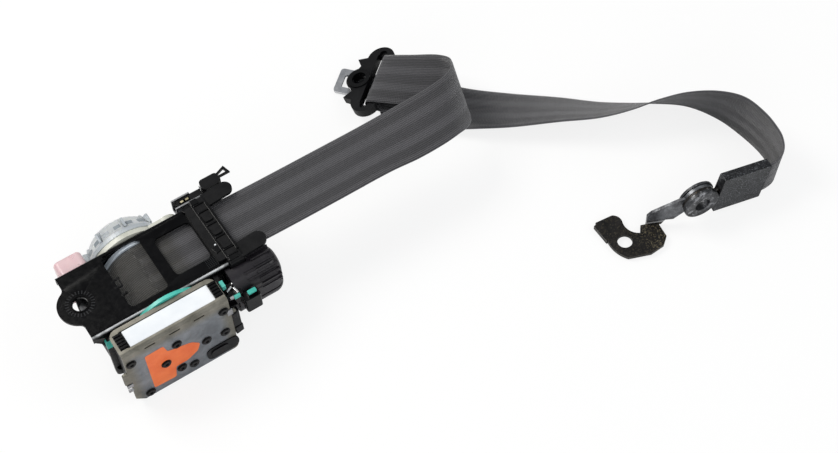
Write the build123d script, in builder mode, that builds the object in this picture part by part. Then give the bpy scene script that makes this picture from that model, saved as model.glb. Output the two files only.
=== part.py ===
from build123d import *

import os
from math import cos, radians, sin

os.makedirs("parts", exist_ok=True)

# Front seat belt with its emergency locking retractor, laid out on a bench.
# The origin is the centre of the retractor's bolt hole, on the back plate's top face.
# X runs along the retractor towards the belt exit, Y is the spool's axis, Z points up.
# All sizes are in millimetres.

# Webbing
webbing_width = 50.0
webbing_thickness = 1.2
soft_clearance = 0.3

# Pressed steel frame, open side down
plate_thickness = 2.0
frame_left = -6.0
frame_right = 108.0
ratchet_thickness = 3.0
ratchet_side_gap = 0.7
channel_half_width = webbing_width / 2 + soft_clearance + ratchet_thickness + ratchet_side_gap
frame_half_width = channel_half_width + plate_thickness
frame_height = 62.0
frame_bend_radius = 2.6
anchor_bolt_hole_radius = 5.9
anchor_lobe_radius = 17.5
lobe_blend_radius = 5.0
frame_foot_radius = 14.0
spool_window_left = 30.0
spool_window_right = 62.0
spool_window_bottom = -24.0
spool_window_top = 27.5
belt_window_left = 71.0
belt_window_right = 101.0
belt_window_half = 19.0
window_corner_radius = 4.0
side_hole_radius = 21.0

# Spool, on the Y axis of the frame
spool_x = 54.0
spool_z = -30.0
core_radius = 14.0
flange_radius = 27.5
flange_thickness = 2.5
drive_journal_radius = 10.0
spring_journal_radius = 6.0
journal_clearance = 0.05
ratchet_teeth = 20
ratchet_depth = 2.6
roll_radius = 24.5
torsion_bore_radius = 7.0
torsion_head_radius = 6.9
torsion_shank_radius = 4.8

# Belt line as it leaves the roll
belt_exit_z = spool_z + roll_radius + soft_clearance + webbing_thickness / 2
frame_inner = frame_half_width - plate_thickness

# Spring side
running_gap = 0.3
base_plate_thickness = 4.5
spring_case_radius = 31.0
case_foot_width = 1.3
base_plate_radius = spring_case_radius + case_foot_width
spring_case_top_radius = 26.0
spring_case_depth = 20.0
case_wall = 1.6
mainspring_turns = 6
mainspring_pitch = 2.6
mainspring_thickness = 0.8
mainspring_inner = 9.0
mainspring_width = 10.0
arbor_radius = 7.5

# Drive side with the pretensioner
bearing_plate_thickness = 3.0
bearing_disc_radius = 34.5
gearbox_left = 4.0
gearbox_right = 92.0
gearbox_top = 2.0
gearbox_bottom = -69.0
gearbox_depth = 25.4
cover_thickness = 1.6

# Belt guide at the frame's open end
guide_left = frame_right + running_gap
guide_length = 13.0
guide_right = guide_left + guide_length
guide_overhang = 2.5
guide_half_width = frame_half_width + guide_overhang
guide_top = 2.6
guide_bottom = -13.0
guide_slot_height = 6.6
guide_slot_middle = -0.2
wing_thickness = 2.4
wing_root = guide_right - 2.0
wing_outer = guide_half_width - 0.5

# Tie bars between the side plates
tie_bar_radius = 5.0
tie_bar_end_radius = 3.9
tie_bar_hole_radius = 4.0
tie_bar_places = ((8.0, 12.0 - frame_height), (98.0, 18.0 - frame_height))


def side_plane(y):
    """Plane across the spool axis at this Y, with X to the right, Z up and -Y as its normal."""
    return Plane(origin=(0, y, 0), x_dir=(1, 0, 0), z_dir=(0, -1, 0))


# Retractor frame: one U-shaped pressing with windows over the spool and the belt
with BuildPart() as retractor_frame:
    with BuildSketch(Plane.YZ.offset(frame_left)):
        with Locations((0, -frame_height / 2)):
            Rectangle(2 * frame_half_width, frame_height)
        fillet(vertices().group_by(Axis.Y)[-1], frame_bend_radius)
        with Locations((0, -frame_height / 2 - plate_thickness)):
            Rectangle(2 * frame_inner, frame_height, mode=Mode.SUBTRACT)
    extrude(amount=frame_right - frame_left)
    fillet(edges().filter_by(Axis.Y).group_by(Axis.Z)[0], frame_foot_radius)
    with BuildSketch(Plane.XY):
        with Locations((0, 0)):
            Circle(anchor_lobe_radius)
        with Locations((0, 0)):
            Rectangle(-2 * frame_left, 2 * (frame_half_width - frame_bend_radius))
        waist = vertices().filter_by_position(Axis.X, frame_left - 0.1, frame_left + 0.1)
        fillet(waist.filter_by(lambda v: abs(v.Y) < anchor_lobe_radius), lobe_blend_radius)
    extrude(amount=-plate_thickness)
    with BuildSketch(Plane.XY):
        Circle(anchor_bolt_hole_radius)
        with Locations(((spool_window_left + spool_window_right) / 2,
                        (spool_window_bottom + spool_window_top) / 2)):
            RectangleRounded(spool_window_right - spool_window_left,
                             spool_window_top - spool_window_bottom, window_corner_radius)
        with Locations(((belt_window_left + belt_window_right) / 2, 0)):
            RectangleRounded(belt_window_right - belt_window_left, 2 * belt_window_half,
                             window_corner_radius)
    extrude(amount=-plate_thickness, mode=Mode.SUBTRACT)
    with BuildSketch(side_plane(frame_half_width)):
        with Locations((spool_x, spool_z)):
            Circle(side_hole_radius)
        with Locations(*tie_bar_places):
            Circle(tie_bar_hole_radius)
    extrude(amount=2 * frame_half_width, mode=Mode.SUBTRACT)
retractor_frame.part.label = "retractor_frame"
export_step(retractor_frame.part, "parts/retractor_frame.step")

# Tie bars that hold the side plates apart, riveted over at both ends
for side, place in zip(("rear", "front"), tie_bar_places):
    with BuildPart() as tie_bar:
        with BuildSketch(side_plane(frame_inner - journal_clearance)):
            with Locations(place):
                Circle(tie_bar_radius)
        extrude(amount=2 * (frame_inner - journal_clearance))
        with BuildSketch(side_plane(frame_half_width + 0.8)):
            with Locations(place):
                Circle(tie_bar_end_radius)
        extrude(amount=2 * (frame_half_width + 0.8))
    tie_bar.part.label = f"tie_bar_{side}"
    export_step(tie_bar.part, f"parts/tie_bar_{side}.step")

# Spool: a cast core with a plain flange, a ratchet flange and two journals
core_half = webbing_width / 2 + soft_clearance
drive_end = -frame_half_width - bearing_plate_thickness - 8.0
spring_end = frame_half_width + base_plate_thickness + 2.0
ratchet_outer = core_half + ratchet_thickness
with BuildPart() as spool:
    with BuildSketch(side_plane(core_half)):
        with Locations((spool_x, spool_z)):
            Circle(core_radius)
    extrude(amount=2 * core_half)
    with BuildSketch(side_plane(-core_half)):
        with Locations((spool_x, spool_z)):
            Circle(flange_radius)
    extrude(amount=flange_thickness)
    with BuildSketch(side_plane(ratchet_outer)):
        with Locations((spool_x, spool_z)):
            Circle(flange_radius)
            with PolarLocations(flange_radius, ratchet_teeth):
                with BuildLine():
                    Polyline((-ratchet_depth, 0), (1, 0), (1, 4.2), (-ratchet_depth, 0), close=False)
                make_face(mode=Mode.SUBTRACT)
    extrude(amount=ratchet_thickness)
    with BuildSketch(side_plane(-core_half)):
        with Locations((spool_x, spool_z)):
            Circle(drive_journal_radius)
    extrude(amount=-core_half - drive_end)
    with BuildSketch(side_plane(spring_end)):
        with Locations((spool_x, spool_z)):
            Circle(spring_journal_radius)
    extrude(amount=spring_end - core_half)
    with BuildSketch(side_plane(core_half - 4)):
        with Locations((spool_x, spool_z)):
            Circle(torsion_bore_radius)
    extrude(amount=core_half - 4 - drive_end, mode=Mode.SUBTRACT)
spool.part.label = "spool"
export_step(spool.part, "parts/spool.step")

# Torsion bar: the load limiter inside the spool
with BuildPart() as torsion_bar:
    with BuildSketch(side_plane(core_half - 4.2)):
        with Locations((spool_x, spool_z)):
            Circle(torsion_head_radius)
    extrude(amount=7)
    with BuildSketch(side_plane(core_half - 4.2)):
        with Locations((spool_x, spool_z)):
            Circle(torsion_shank_radius)
    extrude(amount=core_half - 4.2 - drive_end)
    with BuildSketch(side_plane(drive_end + 7)):
        with Locations((spool_x, spool_z)):
            Circle(torsion_head_radius)
    extrude(amount=7)
torsion_bar.part.label = "torsion_bar"
export_step(torsion_bar.part, "parts/torsion_bar.step")

# Wound webbing, a plain ring round the core
with BuildPart() as webbing_roll:
    with BuildSketch(side_plane(webbing_width / 2)):
        with Locations((spool_x, spool_z)):
            Circle(roll_radius)
            Circle(core_radius + soft_clearance, mode=Mode.SUBTRACT)
    extrude(amount=webbing_width)
webbing_roll.part.label = "webbing_roll"
export_step(webbing_roll.part, "parts/webbing_roll.step")

# Locking pawl on its pin, between the ratchet flange and the spring side plate
pawl_x = 93.0
pawl_z = -33.0
pawl_pin_radius = 2.5
pawl_tip_x = spool_x + flange_radius + 0.9
pawl_thickness = ratchet_thickness - 0.4
with BuildPart() as locking_pawl:
    with BuildSketch(side_plane(ratchet_outer - 0.2)):
        with BuildLine():
            tip = Line((pawl_tip_x, spool_z - 3), (pawl_tip_x, spool_z))
            Line(tip @ 1, (pawl_x, pawl_z + 5))
            RadiusArc((pawl_x, pawl_z + 5), (pawl_x, pawl_z - 5), 5)
            Line((pawl_x, pawl_z - 5), tip @ 0)
        make_face()
        with Locations((pawl_x, pawl_z)):
            Circle(pawl_pin_radius + journal_clearance, mode=Mode.SUBTRACT)
    extrude(amount=pawl_thickness)
locking_pawl.part.label = "locking_pawl"
export_step(locking_pawl.part, "parts/locking_pawl.step")

with BuildPart() as pawl_pin:
    with BuildSketch(side_plane(frame_inner)):
        with Locations((pawl_x, pawl_z)):
            Circle(pawl_pin_radius)
    extrude(amount=frame_inner - ratchet_outer + ratchet_thickness + 0.6)
    with BuildSketch(side_plane(ratchet_outer - pawl_thickness - 0.4)):
        with Locations((pawl_x, pawl_z)):
            Circle(pawl_pin_radius + 1.4)
    extrude(amount=1.2)
pawl_pin.part.label = "pawl_pin"
export_step(pawl_pin.part, "parts/pawl_pin.step")

# Spring base plate, cream plastic, against the spring side plate
base_inner = frame_half_width + running_gap
base_outer = base_inner + base_plate_thickness
with BuildPart() as spring_base_plate:
    with BuildSketch(side_plane(base_outer)):
        with Locations((spool_x, spool_z)):
            Circle(base_plate_radius)
        with Locations((spool_x + 35, spool_z + 17)):
            Circle(9)
        with Locations((spool_x + 18, spool_z + 16)):
            Rectangle(34, 18)
        with Locations((spool_x, spool_z)):
            Circle(spring_journal_radius + journal_clearance, mode=Mode.SUBTRACT)
    extrude(amount=base_plate_thickness)
spring_base_plate.part.label = "spring_base_plate"
export_step(spring_base_plate.part, "parts/spring_base_plate.step")

# Spring case, a clouded domed cup with ribs and windows round its rim
case_outer = base_outer + spring_case_depth
spool_axis = Axis((spool_x, 0, spool_z), (0, 1, 0))
case_rib_count = 9
with BuildPart() as spring_case:
    with BuildSketch(Plane(origin=(spool_x, 0, spool_z), x_dir=(1, 0, 0), z_dir=(0, 0, 1))):
        with BuildLine():
            Polyline((0, case_outer), (spring_case_top_radius - 3, case_outer),
                     (spring_case_top_radius, case_outer - 3),
                     (spring_case_radius, base_outer + 4), (base_plate_radius, base_outer + 4),
                     (base_plate_radius, base_outer), (spring_case_radius - case_wall, base_outer),
                     (spring_case_radius - case_wall, base_outer + 4),
                     (spring_case_top_radius - case_wall, case_outer - 3 - case_wall / 2),
                     (spring_case_top_radius - 3 - case_wall / 2, case_outer - case_wall),
                     (0, case_outer - case_wall), close=True)
        make_face()
    revolve(axis=spool_axis)
    for rib in range(case_rib_count):
        angle = 360 / case_rib_count * rib
        rib_plane = Plane(origin=(spool_x, 0, spool_z),
                          x_dir=(cos(radians(angle)), 0, sin(radians(angle))),
                          z_dir=(-sin(radians(angle)), 0, cos(radians(angle))))
        with BuildSketch(rib_plane.offset(-0.9)):
            with BuildLine():
                Polyline((spring_case_radius - 0.8, base_outer + 3.9), (base_plate_radius, base_outer + 3.9),
                         (spring_case_top_radius + 2, case_outer - 3.5),
                         (spring_case_top_radius - 0.9, case_outer - 3.5), close=True)
            make_face()
        extrude(amount=1.8)
spring_case.part.label = "spring_case"
export_step(spring_case.part, "parts/spring_case.step")

# Arbor on the spool's spring journal, and the flat spiral spring round it
arbor_inner = base_outer + 0.3
with BuildPart() as spring_arbor:
    with BuildSketch(side_plane(case_outer - case_wall - 0.6)):
        with Locations((spool_x, spool_z)):
            Circle(arbor_radius)
    extrude(amount=case_outer - case_wall - 0.6 - arbor_inner)
    with BuildSketch(side_plane(spring_end + 0.1)):
        with Locations((spool_x, spool_z)):
            Circle(spring_journal_radius + 0.1)
    extrude(amount=spring_end + 0.1 - arbor_inner, mode=Mode.SUBTRACT)
spring_arbor.part.label = "spring_arbor"
export_step(spring_arbor.part, "parts/spring_arbor.step")

with BuildPart() as mainspring:
    with BuildSketch(side_plane(base_outer + 3 + mainspring_width)):
        with BuildLine():
            for half_turn in range(2 * mainspring_turns):
                radius = mainspring_inner + mainspring_pitch / 2 * half_turn
                lower = half_turn % 2
                CenterArc((spool_x + mainspring_pitch / 2 * lower, spool_z), radius, 180 * lower, 180)
        trace(line_width=mainspring_thickness)
    extrude(amount=mainspring_width)
mainspring.part.label = "mainspring"
export_step(mainspring.part, "parts/mainspring.step")

# Vehicle sensor: pink clouded cap over a cup, a steel ball and a rocking lever
sensor_width = 22.8
sensor_gap = 0.4
sensor_right = spool_x - base_plate_radius - sensor_gap
sensor_left = sensor_right - sensor_width
sensor_top = -5.0
sensor_bottom = -45.0
sensor_depth = 15.5
sensor_wall = 1.4
sensor_middle = (sensor_left + sensor_right) / 2
sensor_outer = base_inner + sensor_depth
with BuildPart() as sensor_cap:
    with BuildSketch(side_plane(sensor_outer)):
        with Locations((sensor_middle, (sensor_top + sensor_bottom) / 2)):
            RectangleRounded(sensor_right - sensor_left, sensor_top - sensor_bottom, 4)
    extrude(amount=sensor_depth)
    fillet(faces().sort_by(Axis.Y)[-1].edges(), 2.5)
    with BuildSketch(side_plane(sensor_outer - sensor_wall)):
        with Locations((sensor_middle, (sensor_top + sensor_bottom) / 2)):
            RectangleRounded(sensor_right - sensor_left - 2 * sensor_wall,
                             sensor_top - sensor_bottom - 2 * sensor_wall, 3)
    extrude(amount=sensor_depth - sensor_wall, mode=Mode.SUBTRACT)
sensor_cap.part.label = "sensor_cap"
export_step(sensor_cap.part, "parts/sensor_cap.step")

ball_radius = 5.0
cup_top = -33.0
sensor_cup_length = 14.0
sensor_y = base_inner + sensor_depth / 2
cup_bottom = sensor_bottom + sensor_wall
with BuildPart() as sensor_cup:
    with BuildSketch(Plane.XY.offset(cup_bottom)):
        with Locations((sensor_middle, sensor_y)):
            Rectangle(sensor_cup_length, sensor_depth - 2 * sensor_wall - 0.6)
    extrude(amount=cup_top - cup_bottom)
    with Locations((sensor_middle, sensor_y, cup_top)):
        Cone(bottom_radius=1.0, top_radius=6.0, height=3.0,
             align=(Align.CENTER, Align.CENTER, Align.MAX), mode=Mode.SUBTRACT)
sensor_cup.part.label = "sensor_cup"
export_step(sensor_cup.part, "parts/sensor_cup.step")

ball_z = cup_top - 2.4 + ball_radius + 0.9
with BuildPart() as inertia_ball:
    with Locations((sensor_middle, sensor_y, ball_z)):
        Sphere(ball_radius)
inertia_ball.part.label = "inertia_ball"
export_step(inertia_ball.part, "parts/inertia_ball.step")

lever_z = ball_z + ball_radius + 0.4
lever_pivot_x = sensor_left + sensor_wall + 2.4
lever_pin_radius = 0.9
with BuildPart() as sensor_lever:
    with BuildSketch(side_plane(sensor_y + 3)):
        with BuildLine():
            Polyline((lever_pivot_x, lever_z), (sensor_right - 5, lever_z),
                     (sensor_right - 3.5, lever_z + 4), (sensor_right - 5, lever_z + 4),
                     (sensor_right - 6.5, lever_z + 1.4), (lever_pivot_x, lever_z + 1.4), close=True)
        make_face()
        with Locations((lever_pivot_x, lever_z + 0.7)):
            Circle(1.9)
            Circle(lever_pin_radius + journal_clearance, mode=Mode.SUBTRACT)
    extrude(amount=6)
sensor_lever.part.label = "sensor_lever"
export_step(sensor_lever.part, "parts/sensor_lever.step")

with BuildPart() as sensor_lever_pin:
    with BuildSketch(side_plane(sensor_outer - sensor_wall)):
        with Locations((lever_pivot_x, lever_z + 0.7)):
            Circle(lever_pin_radius)
    extrude(amount=sensor_depth - sensor_wall + running_gap)
sensor_lever_pin.part.label = "sensor_lever_pin"
export_step(sensor_lever_pin.part, "parts/sensor_lever_pin.step")

# Teal bearing plate against the drive side plate, with a round disc that stands above the frame
bearing_inner = frame_half_width + running_gap
bearing_outer = bearing_inner + bearing_plate_thickness
with BuildPart() as bearing_plate:
    with BuildSketch(side_plane(-bearing_inner)):
        with Locations(((gearbox_left + gearbox_right) / 2, -34)):
            RectangleRounded(gearbox_right - gearbox_left + 5, 54, 5)
        with Locations((spool_x, spool_z)):
            Circle(bearing_disc_radius)
            Circle(drive_journal_radius + journal_clearance, mode=Mode.SUBTRACT)
        with Locations(*tie_bar_places):
            Circle(tie_bar_end_radius + 1.2, mode=Mode.SUBTRACT)
    extrude(amount=bearing_plate_thickness)
    with BuildSketch(side_plane(-bearing_outer)):
        with Locations((spool_x, spool_z)):
            Circle(bearing_disc_radius - 3)
            Circle(bearing_disc_radius - 6, mode=Mode.SUBTRACT)
    extrude(amount=-1)
bearing_plate.part.label = "bearing_plate"
export_step(bearing_plate.part, "parts/bearing_plate.step")

# Gearbox housing, black plastic, with the pinion chamber and the piston's tube
housing_inner = bearing_outer + 0.1
housing_outer = bearing_inner + gearbox_depth
housing_left = gearbox_left + cover_thickness + 0.2
housing_right = gearbox_right - 0.6
housing_top = gearbox_top - cover_thickness - 5.0
pinion_chamber_radius = 15.0
tube_radius = 6.6
tube_z = -55.0
label_left = 14.0
label_right = 85.0
label_width = 15.0
with BuildPart() as gearbox_housing:
    with BuildSketch(side_plane(-housing_inner)):
        with Locations(((housing_left + housing_right) / 2, (housing_top + gearbox_bottom + 1) / 2)):
            RectangleRounded(housing_right - housing_left, housing_top - gearbox_bottom - 1, 4)
    extrude(amount=housing_outer - housing_inner)
    with BuildSketch(Plane.XY.offset(housing_top)):
        with Locations(((label_left + label_right) / 2, -(bearing_outer + 3 + label_width / 2))):
            Rectangle(label_right - label_left, label_width)
    extrude(amount=4.2)
    with BuildSketch(Plane.XY.offset(housing_top)):
        for end_x in (label_left - 4.6, label_right + 3.4):
            with Locations((end_x, -(bearing_outer + 3 + label_width / 2))):
                with GridLocations(0, 2.7, 1, 5):
                    Rectangle(5.6, 1.2)
    extrude(amount=3.0)
    with BuildSketch(side_plane(-housing_inner)):
        with Locations((spool_x, spool_z)):
            Circle(pinion_chamber_radius)
    extrude(amount=housing_outer - housing_inner - 1.5, mode=Mode.SUBTRACT)
    tube_start = Plane(origin=(housing_right, -(housing_inner + housing_outer) / 2, tube_z),
                       x_dir=(0, 1, 0), z_dir=(-1, 0, 0))
    with BuildSketch(tube_start):
        Circle(tube_radius)
    extrude(amount=housing_right - housing_left - 4, mode=Mode.SUBTRACT)
gearbox_housing.part.label = "gearbox_housing"
export_step(gearbox_housing.part, "parts/gearbox_housing.step")

# Drive pinion on the spool's drive journal, and the piston that the gas drives along its tube
tube_y = -(housing_inner + housing_outer) / 2
pinion_teeth = 12
pinion_radius = 13.0
with BuildPart() as drive_pinion:
    with BuildSketch(side_plane(-housing_inner - 4)):
        with Locations((spool_x, spool_z)):
            Circle(pinion_radius)
            Circle(drive_journal_radius + 0.02, mode=Mode.SUBTRACT)
            with PolarLocations(pinion_radius, pinion_teeth):
                Trapezoid(2.6, 1.6, 70, rotation=90, align=(Align.CENTER, Align.MAX), mode=Mode.SUBTRACT)
    extrude(amount=4.4)
drive_pinion.part.label = "drive_pinion"
export_step(drive_pinion.part, "parts/drive_pinion.step")

piston_left = 62.0
piston_length = 14.0
generator_length = 16.0
with BuildPart() as drive_piston:
    with BuildSketch(Plane(origin=(piston_left, tube_y, tube_z), x_dir=(0, 1, 0), z_dir=(1, 0, 0))):
        Circle(tube_radius - 0.1)
    extrude(amount=piston_length)
    chamfer(edges().filter_by(GeomType.CIRCLE), 0.6)
drive_piston.part.label = "drive_piston"
export_step(drive_piston.part, "parts/drive_piston.step")

with BuildPart() as gas_generator:
    with BuildSketch(Plane(origin=(housing_right + 3, tube_y, tube_z), x_dir=(0, 1, 0), z_dir=(-1, 0, 0))):
        Circle(tube_radius - 0.02)
    extrude(amount=generator_length + 1)
    with BuildSketch(Plane(origin=(housing_right + 3, tube_y, tube_z), x_dir=(0, 1, 0), z_dir=(1, 0, 0))):
        Circle(tube_radius + 1.2)
    extrude(amount=5)
gas_generator.part.label = "gas_generator"
export_step(gas_generator.part, "parts/gas_generator.step")

# Gearbox cover: one bent zinc plated sheet, a window frame on top and a face plate in front
cover_back = -(bearing_outer + 0.4)
cover_front = -(housing_outer + 0.2 + cover_thickness)
cover_bend_radius = 2.4
port_centre = (77.5, -58.5)
port_length = 22.0
port_height = 13.0
bend_slots = (26.5, 47.0, 67.5)
with BuildPart() as gearbox_cover:
    cover_profile = Plane(origin=(gearbox_left, 0, 0), x_dir=(0, 1, 0), z_dir=(1, 0, 0))
    with BuildSketch(cover_profile):
        with BuildLine():
            FilletPolyline((cover_back, gearbox_top - cover_thickness / 2),
                           (cover_front + cover_thickness / 2, gearbox_top - cover_thickness / 2),
                           (cover_front + cover_thickness / 2, gearbox_bottom),
                           radius=cover_bend_radius)
        trace(line_width=cover_thickness)
    extrude(amount=gearbox_right - gearbox_left)
    back_corners = edges().filter_by(Axis.Z).group_by(Axis.Y)[-1]
    fillet(back_corners, 7)
    foot_corners = edges().filter_by(Axis.Y).group_by(Axis.Z)[0].sort_by(Axis.X)
    chamfer(foot_corners[0], 7)
    fillet(edges().filter_by(Axis.Y).group_by(Axis.Z)[0].sort_by(Axis.X)[-1], 4)
    with BuildSketch(Plane.XY.offset(gearbox_top)):
        with Locations(((gearbox_left + gearbox_right) / 2, (cover_back + cover_front) / 2 + 0.5)):
            RectangleRounded(gearbox_right - gearbox_left - 13, cover_back - cover_front - 8, 2.5)
    extrude(amount=-2 * cover_thickness, mode=Mode.SUBTRACT)
    with BuildSketch(side_plane(cover_front + cover_thickness)):
        with Locations((gearbox_left - 1.8, -30)):
            RectangleRounded(5, 15, 1.5)
        with Locations((gearbox_right + 1.6, -22)):
            RectangleRounded(5, 12, 1.5)
    extrude(amount=cover_thickness)
    with BuildSketch(side_plane(cover_front + 2 * cover_thickness)):
        with Locations(port_centre):
            SlotOverall(port_length, port_height)
        with Locations(*[(slot_x, gearbox_top - 4.2) for slot_x in bend_slots]):
            SlotOverall(9, 1.6)
    extrude(amount=3 * cover_thickness, mode=Mode.SUBTRACT)
gearbox_cover.part.label = "gearbox_cover"
export_step(gearbox_cover.part, "parts/gearbox_cover.step")

# Rivets of the cover, one group of like pieces
rivet_places = ((86.5, -11.0), (45.7, -19.5), (68.4, -36.5), (84.0, -39.0), (33.9, -37.0), (44.5, -54.0),
                (54.5, -58.0), (9.0, -12.5), (16.0, -63.5))
rivet_head_radius = 3.3
with BuildPart() as cover_rivets:
    with BuildSketch(side_plane(cover_front)):
        with Locations(*rivet_places):
            Circle(rivet_head_radius)
            Circle(1.5, mode=Mode.SUBTRACT)
    extrude(amount=1.5)
    with BuildSketch(side_plane(cover_front)):
        with Locations(*rivet_places):
            Circle(1.6)
    extrude(amount=0.7)
cover_rivets.part.label = "cover_rivets"
export_step(cover_rivets.part, "parts/cover_rivets.step")

# Igniter plug in the side of the ribbed cover
ribbed_left = frame_right + 0.4
ribbed_right = 144.0
ribbed_y = -frame_half_width - 4.5
ribbed_z = -27.0
ribbed_width = 30.0
ribbed_height = 45.0
ribbed_step = 5.0
ribbed_outer = -bearing_inner - 0.2
groove_count = 5
plug_x = 112.0
plug_z = -22.0
plug_depth = 8.0
plug_y = ribbed_y - ribbed_width / 2 - running_gap - plug_depth / 2
with BuildPart() as igniter_plug:
    with BuildSketch(Plane.XY.offset(plug_z + 7)):
        with Locations((plug_x, plug_y)):
            RectangleRounded(13, plug_depth, 1.5)
    extrude(amount=-16)
    with BuildSketch(Plane.XY.offset(plug_z + 7)):
        with Locations((plug_x + 1, plug_y)):
            Rectangle(8, 4)
    extrude(amount=2.5)
igniter_plug.part.label = "igniter_plug"
export_step(igniter_plug.part, "parts/igniter_plug.step")

with BuildPart() as igniter_latch:
    with BuildSketch(Plane.XY.offset(plug_z + 9.5)):
        with Locations((plug_x + 1, plug_y)):
            RectangleRounded(7, 3.4, 0.8)
    extrude(amount=1.6)
igniter_latch.part.label = "igniter_latch"
export_step(igniter_latch.part, "parts/igniter_latch.step")

# Ribbed cover over the pretensioner's tube, outside and past the drive side plate
with BuildPart() as ribbed_cover:
    with BuildSketch(Plane(origin=(ribbed_left, ribbed_y, ribbed_z), x_dir=(0, 1, 0), z_dir=(1, 0, 0))):
        SlotOverall(ribbed_height, ribbed_width, rotation=90)
    extrude(amount=ribbed_right - ribbed_left)
    fillet(faces().sort_by(Axis.X)[-1].edges(), 9)
    with BuildSketch(Plane(origin=(ribbed_left, ribbed_y, ribbed_z), x_dir=(0, 1, 0), z_dir=(1, 0, 0))):
        SlotOverall(ribbed_height, ribbed_width, rotation=90)
        with Locations((ribbed_width / 2 + ribbed_outer - ribbed_y, 0)):
            Rectangle(ribbed_width, ribbed_height, mode=Mode.SUBTRACT)
    extrude(amount=-ribbed_step)
    for groove in range(groove_count):
        tilt = radians(205 - 22 * groove)
        groove_y = ribbed_y + (ribbed_width / 2 + 0.4) * cos(tilt)
        groove_z = ribbed_z + (ribbed_height - ribbed_width) / 2 * (1 if sin(tilt) > -0.1 else 0)
        groove_z = groove_z + (ribbed_width / 2 + 0.4) * sin(tilt)
        groove_place = Plane(origin=(ribbed_left + 6, groove_y, groove_z), x_dir=(0, 1, 0), z_dir=(1, 0, 0))
        with BuildSketch(groove_place):
            Circle(1.3)
        extrude(amount=ribbed_right - ribbed_left, mode=Mode.SUBTRACT)
    with Locations((ribbed_left - 1, -guide_half_width - running_gap, guide_bottom - running_gap)):
        Box(guide_right - ribbed_left + 1 + running_gap, ribbed_width, ribbed_height,
            align=(Align.MIN, Align.MIN, Align.MIN), mode=Mode.SUBTRACT)
ribbed_cover.part.label = "ribbed_cover"
export_step(ribbed_cover.part, "parts/ribbed_cover.step")

# Belt guide at the frame's open end: a slotted collar with a lip and two wings
guide_face = Plane(origin=(guide_left, 0, 0), x_dir=(0, 1, 0), z_dir=(1, 0, 0))
with BuildPart() as webbing_guide:
    with BuildSketch(guide_face):
        with Locations((0, (guide_top + guide_bottom) / 2)):
            RectangleRounded(2 * guide_half_width, guide_top - guide_bottom, 4)
        with Locations((guide_slot_middle, belt_exit_z)):
            RectangleRounded(webbing_width + 8, guide_slot_height, 2, mode=Mode.SUBTRACT)
    extrude(amount=guide_length)
    fillet(edges().filter_by(Axis.Y).group_by(Axis.Z)[-1], 1.5)
    with BuildSketch(Plane.XY.offset(running_gap)):
        with Locations((guide_left - 2.2, 0)):
            RectangleRounded(7.6, 2 * guide_half_width - 12, 1.5)
    extrude(amount=guide_top - running_gap)
    with BuildSketch(Plane.XY.offset(-0.6)):
        with BuildLine():
            Line((wing_root, wing_outer - 12), (wing_root + 18, wing_outer - 10.5))
            ThreePointArc((wing_root + 18, wing_outer - 10.5), (wing_root + 25, wing_outer - 4.5),
                          (wing_root + 18, wing_outer + 1.5))
            Line((wing_root + 18, wing_outer + 1.5), (wing_root, wing_outer))
            Line((wing_root, wing_outer), (wing_root, wing_outer - 12))
        make_face()
        with BuildLine():
            Line((wing_root, 13.5 - wing_outer), (wing_root + 17, 14.5 - wing_outer))
            ThreePointArc((wing_root + 17, 14.5 - wing_outer), (wing_root + 24, 8.5 - wing_outer),
                          (wing_root + 17, 1 - wing_outer))
            Line((wing_root + 17, 1 - wing_outer), (wing_root, -wing_outer))
            Line((wing_root, -wing_outer), (wing_root, 13.5 - wing_outer))
        make_face()
    extrude(amount=wing_thickness)
    with BuildSketch(Plane.XY.offset(guide_top)):
        with Locations((guide_left + 6, 12), (guide_left + 6, -2), (guide_left + 6, -16)):
            RectangleRounded(7, 8, 1.5)
    extrude(amount=1.4)
webbing_guide.part.label = "webbing_guide"
export_step(webbing_guide.part, "parts/webbing_guide.step")

# Wiring socket on the spring side of the guide: steel bracket, plug body, terminals and clip
bracket_left = 99.0
bracket_right = 124.0
bracket_inner = guide_half_width + 0.4
bracket_depth = 9.0
bracket_top = -1.0
bracket_height = 13.0
sheet = 1.2
with BuildPart() as socket_bracket:
    with BuildSketch(Plane(origin=(bracket_left, 0, 0), x_dir=(0, 1, 0), z_dir=(1, 0, 0))):
        with Locations((bracket_inner + bracket_depth / 2, bracket_top - bracket_height / 2)):
            Rectangle(bracket_depth, bracket_height)
        with Locations((bracket_inner + bracket_depth / 2, bracket_top - bracket_height / 2 + sheet)):
            Rectangle(bracket_depth - 2 * sheet, bracket_height, mode=Mode.SUBTRACT)
    extrude(amount=bracket_right - bracket_left)
    with BuildSketch(side_plane(bracket_inner + bracket_depth)):
        with Locations((bracket_left + 20, bracket_top)):
            Rectangle(9, 6)
    extrude(amount=sheet, mode=Mode.SUBTRACT)
    with BuildSketch(side_plane(bracket_inner)):
        with Locations((bracket_left + 5, bracket_top - 8)):
            Rectangle(8, 8)
    extrude(amount=bracket_inner - base_inner + 0.1)
socket_bracket.part.label = "socket_bracket"
export_step(socket_bracket.part, "parts/socket_bracket.step")

socket_y = bracket_inner + bracket_depth / 2
with BuildPart() as sensor_socket:
    with BuildSketch(Plane.XY.offset(bracket_top - bracket_height + sheet)):
        with Locations((bracket_left + 13.5, socket_y)):
            Rectangle(21.6, bracket_depth - 2 * sheet - 0.2)
    extrude(amount=bracket_height - sheet - 1.5)
    with BuildSketch(Plane.XY.offset(bracket_top - 1.5)):
        with Locations((bracket_left + 9.5, socket_y)):
            Rectangle(9, 3.4)
    extrude(amount=-5, mode=Mode.SUBTRACT)
sensor_socket.part.label = "sensor_socket"
export_step(sensor_socket.part, "parts/sensor_socket.step")

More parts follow.
